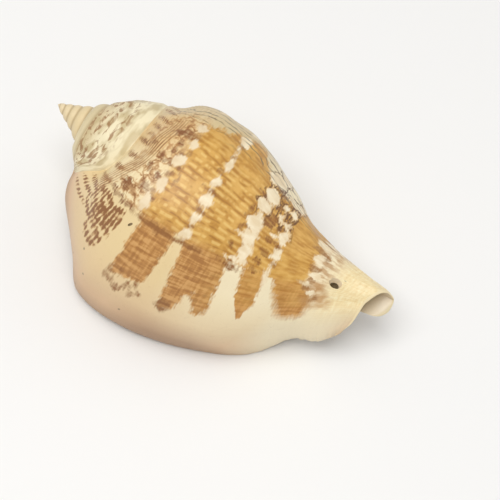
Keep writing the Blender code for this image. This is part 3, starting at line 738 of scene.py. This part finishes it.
# back of the last growth stop the tan is golden, in pale upright cells 1.2 mm apart with thin brown seams
columns = add(tree, "TexWave", {"Vector": in_mm, "Scale": 0.255, "Distortion": 3.0, "Detail": 2.0,
                                "Detail Scale": 0.9}, bands_direction="X")
pale = add(tree, "MapRange", {"Value": columns, "From Min": 0.50, "From Max": 0.85})
pale_rows = add(tree, "MapRange", {"Value": noise["cell rows"], "From Min": 0.43, "From Max": 0.52})
seams = add(tree, "MapRange", {"Value": columns, "From Min": 0.20, "From Max": 0.04, "To Max": 0.8})
seam_rows = add(tree, "MapRange", {"Value": mottle, "From Min": 0.58, "From Max": 0.46})
celled = add(tree, "ValToRGB", {0: s}, stops=((0.28, 0.75), (0.50, 0.72), (0.60, 0.40), (0.68, 0.22)))
older = add(tree, "MapRange", {"Value": t, "From Min": -0.31, "From Max": -0.26, "To Min": 0.35})
celled = add(tree, "Math", {0: celled, 1: older}, operation="MULTIPLY")
for factor in (pale_rows, celled):
    pale = add(tree, "Math", {0: pale, 1: factor}, operation="MULTIPLY")
for factor in (seam_rows, celled):
    seams = add(tree, "Math", {0: seams, 1: factor}, operation="MULTIPLY")
golden = add(tree, "ValToRGB", {0: mottle}, stops=((0.36, "#BE8838"), (0.50, "#CE9B48"), (0.64, "#DBAB58")))
golden = add(tree, "Mix", {"Factor": pale, "A": golden, "B": "#EBC474"}, data_type="RGBA")
golden = add(tree, "Mix", {"Factor": seams, "A": golden, "B": "#9C6724"}, data_type="RGBA")

# in front of it the tan is browner, cross-hatched by the growth lines and, more weakly, by the cords
hatch_lines, hatch_cords = [
    add(tree, "MapRange", {"Value": noise[name], "From Min": 0.38, "From Max": 0.62, "To Max": strength})
    for name, strength in (("lines", 0.62), ("cords", 0.38))]
hatch = add(tree, "Math", {0: hatch_lines, 1: hatch_cords}, operation="ADD")
hatched = add(tree, "ValToRGB", {0: hatch}, stops=((0.20, "#A8733A"), (0.50, "#BD8748"), (0.80, "#D3A060")))
low_bars = add(tree, "ValToRGB", {0: hatch}, stops=((0.20, "#AC702E"), (0.50, "#BF8444"), (0.80, "#D49B58")))
low = add(tree, "ValToRGB", {0: s}, stops=((0.56, 0.0), (0.64, 1.0)))
hatched = add(tree, "Mix", {"Factor": low, "A": hatched, "B": low_bars}, data_type="RGBA")
stage_at = add(tree, "Math", {0: ragged, 1: 0.006, 2: t}, operation="MULTIPLY_ADD")
stage = add(tree, "MapRange", {"Value": stage_at, "From Min": -0.150, "From Max": -0.128})
stage_fade = add(tree, "ValToRGB", {0: s}, stops=((0.50, 1.0), (0.62, 0.45)))
late = add(tree, "MapRange", {"Value": t, "From Min": -0.10, "From Max": -0.06, "To Max": 0.7})
stage = add(tree, "Math", {0: stage, 1: stage_fade}, operation="MULTIPLY")
stage = add(tree, "Math", {0: stage, 1: late}, operation="MAXIMUM")
tan = add(tree, "Mix", {"Factor": stage, "A": golden, "B": hatched}, data_type="RGBA")
layers.append((bars, tan))

# cream ground: whiter between the lower bars, streaked at the canal end, greyer on the back; darker
# pinkish brown towards the lip edge, painted shade and a painted warm reflection where the lip turns under
ground_age = add(tree, "MapRange", {"Value": t, "From Min": -0.6, "From Max": 0.05})
# the last stops, darker pinkish brown at the lip edge, are painted shade and a painted warm reflection
ground = add(tree, "ValToRGB", {0: ground_age}, stops=(
    (0.0, "#DCC595"), (0.30, "#D5BE8E"), (0.38, "#D6C090"), (0.60, "#E9D29F"), (0.82, "#E9CF9B"),
    (0.90, "#E4C698"), (0.95, "#DDB88E"), (1.0, "#B48E67")))
# painted shade: a pinkish-brown band along the middle of the lip edge, where the lip turns under
lip_painted_shade = add(tree, "ValToRGB", {0: s}, stops=((0.34, 0.0), (0.46, 0.8), (0.56, 0.8), (0.64, 0.0)))
lip_only = add(tree, "MapRange", {"Value": t, "From Min": -0.015, "From Max": 0.03})
lip_painted_shade = add(tree, "Math", {0: lip_painted_shade, 1: lip_only}, operation="MULTIPLY")
whiter = add(tree, "ValToRGB", {0: s}, stops=((0.42, 0.0), (0.56, 0.8), (0.72, 0.95), (0.90, 0.95),
                                              (1.0, 0.6)))
whiter_lip = add(tree, "MapRange", {"Value": t, "From Min": 0.03, "From Max": -0.08, "To Min": 0.05})
lobe = add(tree, "ValToRGB", {0: s}, stops=((0.62, 0.0), (0.74, 0.92), (0.92, 0.92), (1.0, 0.5)))
whiter_lip = add(tree, "Math", {0: whiter_lip, 1: lobe}, operation="MAXIMUM")
whiter = add(tree, "Math", {0: whiter, 1: whiter_lip}, operation="MULTIPLY")
canal_tint = add(tree, "MapRange", {"Value": s, "From Min": 0.80, "From Max": 0.88})
lip_side = add(tree, "MapRange", {"Value": t, "From Min": 0.0, "From Max": -0.09})
canal_tint = add(tree, "Math", {0: canal_tint, 1: lip_side}, operation="MULTIPLY")
canal_streaks = add(tree, "Math", {0: lines_and_cords, 1: 0.5}, operation="MULTIPLY")
canal_cream = add(tree, "ValToRGB", {0: canal_streaks}, stops=(
    (0.34, "#E8CD96"), (0.50, "#F2DCA8"), (0.64, "#F8EBC0")))
# the first cover lays the painted shade of the lip edge over the ground
for cover, tone in ((lip_painted_shade, "#A37D5A"), (whiter, "#F6E8C4"), (canal_tint, canal_cream)):
    ground = add(tree, "Mix", {"Factor": cover, "A": ground, "B": tone}, data_type="RGBA")

# soft tan that spreads from the last bar to the canal, and tan blotches beside it
blush_mottle = add(tree, "Math", {0: mottle, 1: 4.0, 2: -2.0}, operation="MULTIPLY_ADD")
blush_edge = add(tree, "Math", {0: blush_mottle, 1: mark["blush_mm"]}, operation="ADD")
blush = add(tree, "MapRange", {"Value": blush_edge, "From Min": -0.9, "From Max": 0.7, "To Max": 0.75})
blotches = add(tree, "MapRange", {"Value": noise["blotches"], "From Min": 0.40, "From Max": 0.56,
                                  "To Max": 0.75})
blotch_band = add(tree, "ValToRGB", {0: s}, stops=((0.770, 0.0), (0.795, 1.0), (0.825, 1.0), (0.862, 0.0)))
blotch_end = add(tree, "MapRange", {"Value": t, "From Min": -0.05, "From Max": -0.09})
for factor in (blotch_band, blotch_end):
    blotches = add(tree, "Math", {0: blotches, 1: factor}, operation="MULTIPLY")
layers += [(blush, "#C08C50"), (blotches, "#B98A54")]

# upper band: a net of brown lines round cream cells about 2 mm wide
upper = add(tree, "ValToRGB", {0: noise["cords"]}, stops=(
    (0.38, "#E2C592"), (0.50, "#EED8A8"), (0.62, "#F6E4BA")))
upper_age = add(tree, "MapRange", {"Value": t, "From Min": -0.45, "From Max": -0.20})
upper_age = add(tree, "ValToRGB", {0: upper_age}, stops=(
    (0.0, "#C6AF80"), (0.40, "#CDB484"), (0.60, "#D8AF70"), (0.82, "#DDB87C"), (1.0, "#F0DCAE")))
upper = add(tree, "Mix", {"Factor": 0.65, "A": upper, "B": upper_age}, data_type="RGBA")
upper_part = add(tree, "MapRange", {"Value": s, "From Min": 0.285, "From Max": 0.255})
behind = add(tree, "MapRange", {"Value": t, "From Min": -0.130, "From Max": -0.142})
upper_part = add(tree, "Math", {0: upper_part, 1: behind}, operation="MULTIPLY")
shake = add(tree, "TexNoise", {"Vector": in_mm, "Scale": 0.55, "Detail": 3.0}).outputs["Color"]
shake = add(tree, "VectorMath", {0: shake, 1: (0.5, 0.5, 0.5)}, operation="SUBTRACT")
shake = add(tree, "VectorMath", {0: shake, 1: (5.0, 5.0, 0.0)}, operation="MULTIPLY")
shaken = add(tree, "VectorMath", {0: in_mm, 1: shake}, operation="ADD")
cell_at = add(tree, "VectorMath", {0: shaken, 1: (0.60, 0.38, 0.0)}, operation="MULTIPLY")
net_cells = add(tree, "TexVoronoi", {"Vector": cell_at, "Scale": 1.0}, voronoi_dimensions="2D",
                feature="DISTANCE_TO_EDGE")
net_width = add(tree, "MapRange", {"Value": mottle, "From Min": 0.38, "From Max": 0.62,
                                   "To Min": -0.04, "To Max": 0.25})
net_width = add(tree, "Math", {0: net_width, 1: mark["net_share"]}, operation="MULTIPLY")
net = add(tree, "Math", {0: net_width, 1: net_cells}, operation="SUBTRACT")
net_tan = add(tree, "MapRange", {"Value": net, "From Min": -0.20, "From Max": 0.0, "To Max": 0.9})
net_tan = add(tree, "Math", {0: net_tan, 1: mark["net_share"]}, operation="MULTIPLY")
net_depth = add(tree, "MapRange", {"Value": hatch, "From Min": 0.35, "From Max": 0.62,
                                   "To Min": 0.85, "To Max": 0.40})
net_brown = add(tree, "MapRange", {"Value": net, "From Min": -0.02, "From Max": 0.10})
net_brown = add(tree, "Math", {0: net_brown, 1: net_depth}, operation="MULTIPLY")
layers += [(upper_part, upper), (net_tan, "#BE8A50"), (net_brown, "#8C5A2C")]

# columns of short brown dashes in rows 0.8 mm apart towards the lip, and soft streaks that fan from the
# suture
dashes = add(tree, "Math", {0: mark["dash_share"], 1: 0.28, 2: noise["dashes"]}, operation="MULTIPLY_ADD")
dash_rows = add(tree, "TexWave", {"Vector": in_mm, "Scale": 0.40, "Distortion": 3.0, "Detail": 2.0,
                                  "Detail Scale": 0.8}, bands_direction="Y")
dash_rows = add(tree, "Math", {0: dash_rows, 1: -0.26, 2: 0.12}, operation="MULTIPLY_ADD")
dashes = add(tree, "Math", {0: dashes, 1: dash_rows}, operation="ADD")
near_dash = add(tree, "MapRange", {"Value": mark["dash_share"], "From Min": 0.05, "From Max": 0.35})
dash_tan = add(tree, "MapRange", {"Value": dashes, "From Min": 0.47, "From Max": 0.66, "To Max": 0.75})
dash_tan = add(tree, "Math", {0: dash_tan, 1: near_dash}, operation="MULTIPLY")
dash_brown = add(tree, "MapRange", {"Value": dashes, "From Min": 0.60, "From Max": 0.76, "To Max": 0.9})
dash_brown = add(tree, "Math", {0: dash_brown, 1: near_dash}, operation="MULTIPLY")
layers += [(dash_tan, "#BC8B50"), (dash_brown, "#87552A")]

# fine threads 0.65 mm apart that slant over the shoulder on a tan ground
thread_at = add(tree, "SeparateXYZ", {0: in_mm})
thread_at = add(tree, "CombineXYZ", {"X": thread_at, "Y": mark["thread_mm"]})
threads = add(tree, "TexWave", {"Vector": thread_at, "Scale": 0.48, "Distortion": 1.2, "Detail": 2.0,
                                "Detail Scale": 0.4}, bands_direction="Y")
threads = add(tree, "MapRange", {"Value": threads, "From Min": 0.52, "From Max": 0.20, "To Max": 0.85})
threads = add(tree, "Math", {0: threads, 1: mark["thread_share"]}, operation="MULTIPLY")
thread_ground = add(tree, "MapRange", {"Value": mark["thread_share"], "To Max": 0.40})
layers += [(thread_ground, "#CFA468"), (threads, "#8F5A28")]

# dark brown patches, mottled by the growth lines
brown_edge = add(tree, "Math", {0: ragged, 1: 0.6, 2: mark["brown_mm"]}, operation="MULTIPLY_ADD")
browns = add(tree, "MapRange", {"Value": brown_edge, "From Min": -0.28, "From Max": 0.14})
brown_depth = add(tree, "MapRange", {"Value": hatch, "From Min": 0.30, "From Max": 0.70,
                                     "To Min": 0.95, "To Max": 0.55})
browns = add(tree, "Math", {0: browns, 1: brown_depth}, operation="MULTIPLY")
brown_tone = add(tree, "ValToRGB", {0: s}, stops=((0.24, "#87552C"), (0.30, "#94622F"), (0.66, "#8A5620"),
                                                  (0.76, "#A2733F")))

# cream patches over them, and on the back a broken dark line round those of the lower rows and along the
# end of the golden field
outline = add(tree, "MapRange", {"Value": spot_edge, "From Min": -1.0, "From Max": 0.0})
outline = add(tree, "ValToRGB", {0: outline}, stops=((0.42, 0.0), (0.60, 1.0), (0.84, 1.0), (0.97, 0.0)))
field_line = add(tree, "MapRange", {"Value": field_edge, "From Min": -1.0, "From Max": 1.0})
field_line = add(tree, "ValToRGB", {0: field_line}, stops=(
    (0.25, 0.0), (0.42, 0.8), (0.58, 0.8), (0.75, 0.0)))
outline = add(tree, "Math", {0: outline, 1: field_line}, operation="MAXIMUM")
outline_rows = add(tree, "ValToRGB", {0: s}, stops=((0.50, 0.0), (0.53, 1.0), (0.66, 1.0), (0.70, 0.0)))
outline_back = add(tree, "MapRange", {"Value": t, "From Min": -0.225, "From Max": -0.26})
outline_far = add(tree, "MapRange", {"Value": t, "From Min": -0.44, "From Max": -0.40})
outline_gaps = add(tree, "MapRange", {"Value": noise["cords"], "From Min": 0.40, "From Max": 0.54})
for factor in (outline_rows, outline_back, outline_far, outline_gaps):
    outline = add(tree, "Math", {0: outline, 1: factor}, operation="MULTIPLY")
spot_tone = add(tree, "ValToRGB", {0: mottle}, stops=((0.40, "#E9D3AB"), (0.60, "#F6E6C4")))
first_row = add(tree, "MapRange", {"Value": s, "From Min": 0.34, "From Max": 0.30, "To Max": 0.45})
spot_tone = add(tree, "Mix", {"Factor": first_row, "A": spot_tone, "B": "#DCC298"}, data_type="RGBA")
layers += [(browns, brown_tone), (outline, "#70481F"), (spots, spot_tone)]

# far back, thin wavy growth lines in grey brown, about 1.8 mm apart
wavy = add(tree, "TexWave", {"Vector": in_mm, "Scale": 0.17, "Distortion": 11.0, "Detail": 2.5,
                             "Detail Scale": 1.1}, bands_direction="X")
wavy = add(tree, "MapRange", {"Value": wavy, "From Min": 0.17, "From Max": 0.05})
wavy_gaps = add(tree, "MapRange", {"Value": mottle, "From Min": 0.42, "From Max": 0.54, "To Min": 0.25})
far_back = add(tree, "MapRange", {"Value": t, "From Min": -0.31, "From Max": -0.35, "To Max": 0.85})
shoulder = add(tree, "ValToRGB", {0: s}, stops=((0.04, 0.0), (0.12, 1.0), (0.70, 1.0), (0.80, 0.2)))
for factor in (wavy_gaps, far_back, shoulder):
    wavy = add(tree, "Math", {0: wavy, 1: factor}, operation="MULTIPLY")
wavy_tone = add(tree, "MapRange", {"Value": t, "From Min": -0.50, "From Max": -0.40})
wavy_tone = add(tree, "ValToRGB", {0: wavy_tone}, stops=((0.0, "#B58A55"), (1.0, "#756042")))

# the mouth side is glazed over and the pattern fades under it
glazed = add(tree, "MapRange", {"Value": t, "From Min": -0.58, "From Max": -0.74})
layers += [(wavy, wavy_tone), (glazed, "#EFE3CE")]

# a few tiny dark specks: (turn, share, radius in mm)
SPECKS = ((-0.0267, 0.2197, 0.16), (0.0, 0.2601, 0.14), (0.040, 0.2629, 0.17), (0.0167, 0.2017, 0.13),
          (0.012, 0.3797, 0.15), (-0.2153, 0.8818, 0.20))
SPECK_EDGE = (1.6, 0.6)   # a speck fades in between these shares of its radius
for turn, at, radius in SPECKS:
    away = add(tree, "VectorMath", {0: in_mm, 1: (turn * TURN_MM, at * SHARE_MM, 0.0)}, operation="DISTANCE")
    speck = add(tree, "MapRange", {"Value": away.outputs["Value"], "From Min": radius * SPECK_EDGE[0],
                                   "From Max": radius * SPECK_EDGE[1], "To Max": 0.75})
    layers.append((speck, "#7E6A4C"))

colour = ground
for cover, tone in layers:
    colour = add(tree, "Mix", {"Factor": cover, "A": colour, "B": tone}, data_type="RGBA")
tree.links.new(colour.outputs[2], shader.inputs["Base Color"])
shader.inputs["Roughness"].default_value = 0.40
shader.inputs["IOR"].default_value = 1.53
relief_lines = add(tree, "Math", {0: lines_and_cords, 1: threads}, operation="SUBTRACT")
bump = add(tree, "Bump", {"Height": relief_lines, "Strength": 0.35, "Distance": 0.0001})
tree.links.new(bump.outputs[0], shader.inputs["Normal"])

# -- spire: the oldest shell, rubbed pale, with short brown flecks left on the last band --
# Worn aragonite again, a little rougher; the flecks are 1 to 2 mm long and lie along the growth.
spire_matter.use_nodes = True
tree = spire_matter.node_tree
shader = tree.nodes["Principled BSDF"]
growth = add(tree, "UVMap", {}, uv_map="growth")
turn_and_share = add(tree, "SeparateXYZ", {0: growth})
t = turn_and_share.outputs["X"]
v = turn_and_share.outputs["Y"]
age = add(tree, "MapRange", {"Value": t, "From Min": -6.5, "From Max": -0.95})
age = add(tree, "ValToRGB", {0: age}, stops=(
    (0.0, "#EAD6AE"), (0.60, "#E6D0A2"), (0.76, "#D9C79C"), (0.84, "#EEDFB6"), (1.0, "#F5E9C4")))
fleck_at = add(tree, "VectorMath", {0: growth, 1: (30.0, 11.0, 1.0)}, operation="MULTIPLY")
fleck_noise = add(tree, "TexNoise", {"Vector": fleck_at, "Scale": 1.0, "Detail": 3.0, "Distortion": 0.7})
flecks = add(tree, "MapRange", {"Value": fleck_noise, "From Min": 0.50, "From Max": 0.62, "To Max": 0.85})
across = add(tree, "ValToRGB", {0: v}, stops=((0.0, 0.8), (0.12, 1.0), (0.64, 0.9), (0.80, 0.0)))
recent = add(tree, "MapRange", {"Value": t, "From Min": -2.1, "From Max": -1.9})
for factor in (across, recent):
    flecks = add(tree, "Math", {0: flecks, 1: factor}, operation="MULTIPLY")
tone_at = add(tree, "VectorMath", {0: growth, 1: (13.0, 5.0, 1.0)}, operation="MULTIPLY")
tone = add(tree, "TexNoise", {"Vector": tone_at, "Scale": 1.0, "Detail": 2.0})
tone = add(tree, "MapRange", {"Value": tone, "From Min": 0.45, "From Max": 0.62, "To Max": 0.85})
tone = add(tree, "Math", {0: tone, 1: recent}, operation="MULTIPLY")
young = add(tree, "ValToRGB", {0: v}, stops=((0.05, 0.75), (0.40, 0.0)))
young = add(tree, "Math", {0: young, 1: recent}, operation="MULTIPLY")
# the older whorls are darker along the suture on either side: painted shade in the suture grooves
old_whorls = add(tree, "MapRange", {"Value": t, "From Min": -1.9, "From Max": -2.1})
suture = add(tree, "ValToRGB", {0: v}, stops=((0.0, 0.8), (0.30, 0.0), (0.80, 0.0), (1.0, 0.8)))
suture = add(tree, "Math", {0: suture, 1: old_whorls}, operation="MULTIPLY")
colour = age
# the second cover lays the painted shade of the sutures
for cover, tint in ((young, "#CDB280"), (suture, "#B79E70"), (tone, "#C9B586"), (flecks, "#966636")):
    colour = add(tree, "Mix", {"Factor": cover, "A": colour, "B": tint}, data_type="RGBA")
tree.links.new(colour.outputs[2], shader.inputs["Base Color"])
shader.inputs["Roughness"].default_value = 0.45
shader.inputs["IOR"].default_value = 1.53
spiral_at = add(tree, "VectorMath", {0: growth, 1: (10.0, 26.0, 1.0)}, operation="MULTIPLY")
spiral = add(tree, "TexNoise", {"Vector": spiral_at, "Scale": 1.0, "Detail": 3.0})
bump = add(tree, "Bump", {"Height": spiral, "Strength": 0.4, "Distance": 0.0001})
tree.links.new(bump.outputs[0], shader.inputs["Normal"])

# -- callus glaze of the lip and the mouth: the same aragonite laid down smooth as porcelain, warm cream --
# The animal glazes it last and it is hardly worn, so roughness is 0.28; faint clouds in it are 6 mm wide.
glaze_matter.use_nodes = True
tree = glaze_matter.node_tree
shader = tree.nodes["Principled BSDF"]
where = add(tree, "TexCoord", {}).outputs["Object"]
clouds = add(tree, "TexNoise", {"Vector": where, "Scale": 160.0, "Detail": 3.0})
colour = add(tree, "ValToRGB", {0: clouds}, stops=((0.35, "#DBC7A4"), (0.65, "#E6D6B8")))
# the outer half of the rim, which its growth map marks below 0.995, is the cream of the outer layer; up to
# the middle of the lip it is darker pinkish brown, painted shade and a painted warm reflection
growth = add(tree, "UVMap", {}, uv_map="growth")
rim_at = add(tree, "SeparateXYZ", {0: growth})
on_rim = add(tree, "MapRange", {"Value": rim_at.outputs["X"], "From Min": 0.996, "From Max": 0.994})
outer_half = add(tree, "MapRange", {"Value": rim_at.outputs["Y"], "From Min": 0.90, "From Max": 0.70})
outer_half = add(tree, "Math", {0: outer_half, 1: on_rim}, operation="MULTIPLY")
# painted shade: darker pinkish brown up to the middle of the lip
rim_cream_and_painted_shade = add(tree, "ValToRGB", {0: rim_at.outputs["X"]}, stops=(
    (0.45, "#C8A680"), (0.65, "#DEC8A4"), (0.77, "#EEDCB0")))
colour = add(tree, "Mix", {"Factor": outer_half, "A": colour, "B": rim_cream_and_painted_shade}, data_type="RGBA")
tree.links.new(colour.outputs[2], shader.inputs["Base Color"])
shader.inputs["Roughness"].default_value = 0.28
shader.inputs["IOR"].default_value = 1.53

# -- wall of the bored hole: the same aragonite cut across, dull cream made lighter than the glaze, partly --
# painted light on the wall; and the inside of the pit, coloured dark --
for matter, tone, dull in ((bored_matter, "#F0DDBB", 0.5), (pit_matter, "#9A8460", 0.8)):
    matter.use_nodes = True
    shader = matter.node_tree.nodes["Principled BSDF"]
    shader.inputs["Base Color"].default_value = linear(tone)
    shader.inputs["Roughness"].default_value = dull
    shader.inputs["IOR"].default_value = 1.53

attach(shell, "root")
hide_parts("conch_shell")

# ======================================================================================================
# Floor. A wide sheet of matt pale card, cut square and laid flat.
# The shell lies loose on it, on its mouth side.
# ======================================================================================================
FLOOR_SIZE = 3.0

bpy.ops.mesh.primitive_plane_add(size=FLOOR_SIZE, location=(0, 0, 0))
floor = bpy.context.object
floor.name = "floor"
card = bpy.data.materials.new("Pale matt card")
card.use_nodes = True
card.node_tree.nodes["Principled BSDF"].inputs["Base Color"].default_value = linear("#F2F1EE")
card.node_tree.nodes["Principled BSDF"].inputs["Roughness"].default_value = 0.9
floor.data.materials.append(card)

# ======================================================================================================
# Lights. One large square softbox high over the lip side and a weaker, larger one over the far side.
# Both are aimed at the shell, under an even pale sky that softens their shadows.
# ======================================================================================================
KEY_POWER = 1.40
FILL_POWER = 0.25
SKY_STRENGTH = 0.50

world = bpy.data.worlds.new("Studio sky")
bpy.context.scene.world = world
world.use_nodes = True
world.node_tree.nodes["Background"].inputs["Color"].default_value = linear("#FAFAFC")
world.node_tree.nodes["Background"].inputs["Strength"].default_value = SKY_STRENGTH
for name, power, size, spot in (("Key softbox", KEY_POWER, 0.35, (-0.03, -0.10, 0.44)),
                                ("Fill softbox", FILL_POWER, 0.40, (0.30, 0.35, 0.30))):
    lamp_data = bpy.data.lights.new(name, "AREA")
    lamp_data.energy = power
    lamp_data.size = size
    lamp = bpy.data.objects.new(name, lamp_data)
    bpy.context.scene.collection.objects.link(lamp)
    lamp.location = spot
    lamp.rotation_euler = (Vector(spot) - Vector((0, 0, 0.01))).to_track_quat("Z", "Y").to_euler()

# ======================================================================================================
# Camera. Above the back of the shell and a little past the lip, turned so that the spire is at upper left.
# Its angles are counted in the shell's own growth frame, in which the coil axis lies along the first axis.
# ======================================================================================================
AIM_POINT = (31.0, -4.0, 2.0)      # along the coil axis, away from the lip, dorsal
AZIMUTH = math.radians(17.599)     # from straight above the back towards the lip
TIP = math.radians(10.239)         # and towards the canal
DISTANCE = 260.0
ROLL = (0.82605, 0.56360)          # shares of the coil axis and of the side that run across the view
SENSOR = 36.0
LENS = 122.46
OFF_CENTRE = (0.02685, -0.01236)   # how far the middle of the view passes from the aim point

sideways = np.array([0.0, -math.cos(AZIMUTH), -math.sin(AZIMUTH)])
dorsal_way = np.array([0.0, -math.sin(AZIMUTH), math.cos(AZIMUTH)])
axial_way = np.array([1.0, 0.0, 0.0])
lengthwise = axial_way * math.cos(TIP) - dorsal_way * math.sin(TIP)
sight = axial_way * math.sin(TIP) + dorsal_way * math.cos(TIP)
right = laid_turn @ (ROLL[0] * lengthwise - ROLL[1] * sideways)
up = -(laid_turn @ (ROLL[1] * lengthwise + ROLL[0] * sideways))
back = laid_turn @ sight
stand = laid_turn @ (np.array(AIM_POINT) + sight * DISTANCE) * MM + laid_shift
view_way = unit(-back + right * OFF_CENTRE[0] + up * OFF_CENTRE[1])
right = unit(right - view_way * (right @ view_way))
up = np.cross(-view_way, right)
camera_data = bpy.data.cameras.new("Camera")
camera_data.sensor_width = SENSOR
camera_data.lens = LENS
camera_data.clip_start = 0.01
camera = bpy.data.objects.new("Camera", camera_data)
bpy.context.scene.collection.objects.link(camera)
camera.matrix_world = Matrix((
    (right[0], up[0], -view_way[0], stand[0]),
    (right[1], up[1], -view_way[1], stand[1]),
    (right[2], up[2], -view_way[2], stand[2]),
    (0, 0, 0, 1)))
bpy.context.scene.camera = camera
bpy.context.scene.view_settings.view_transform = "Standard"
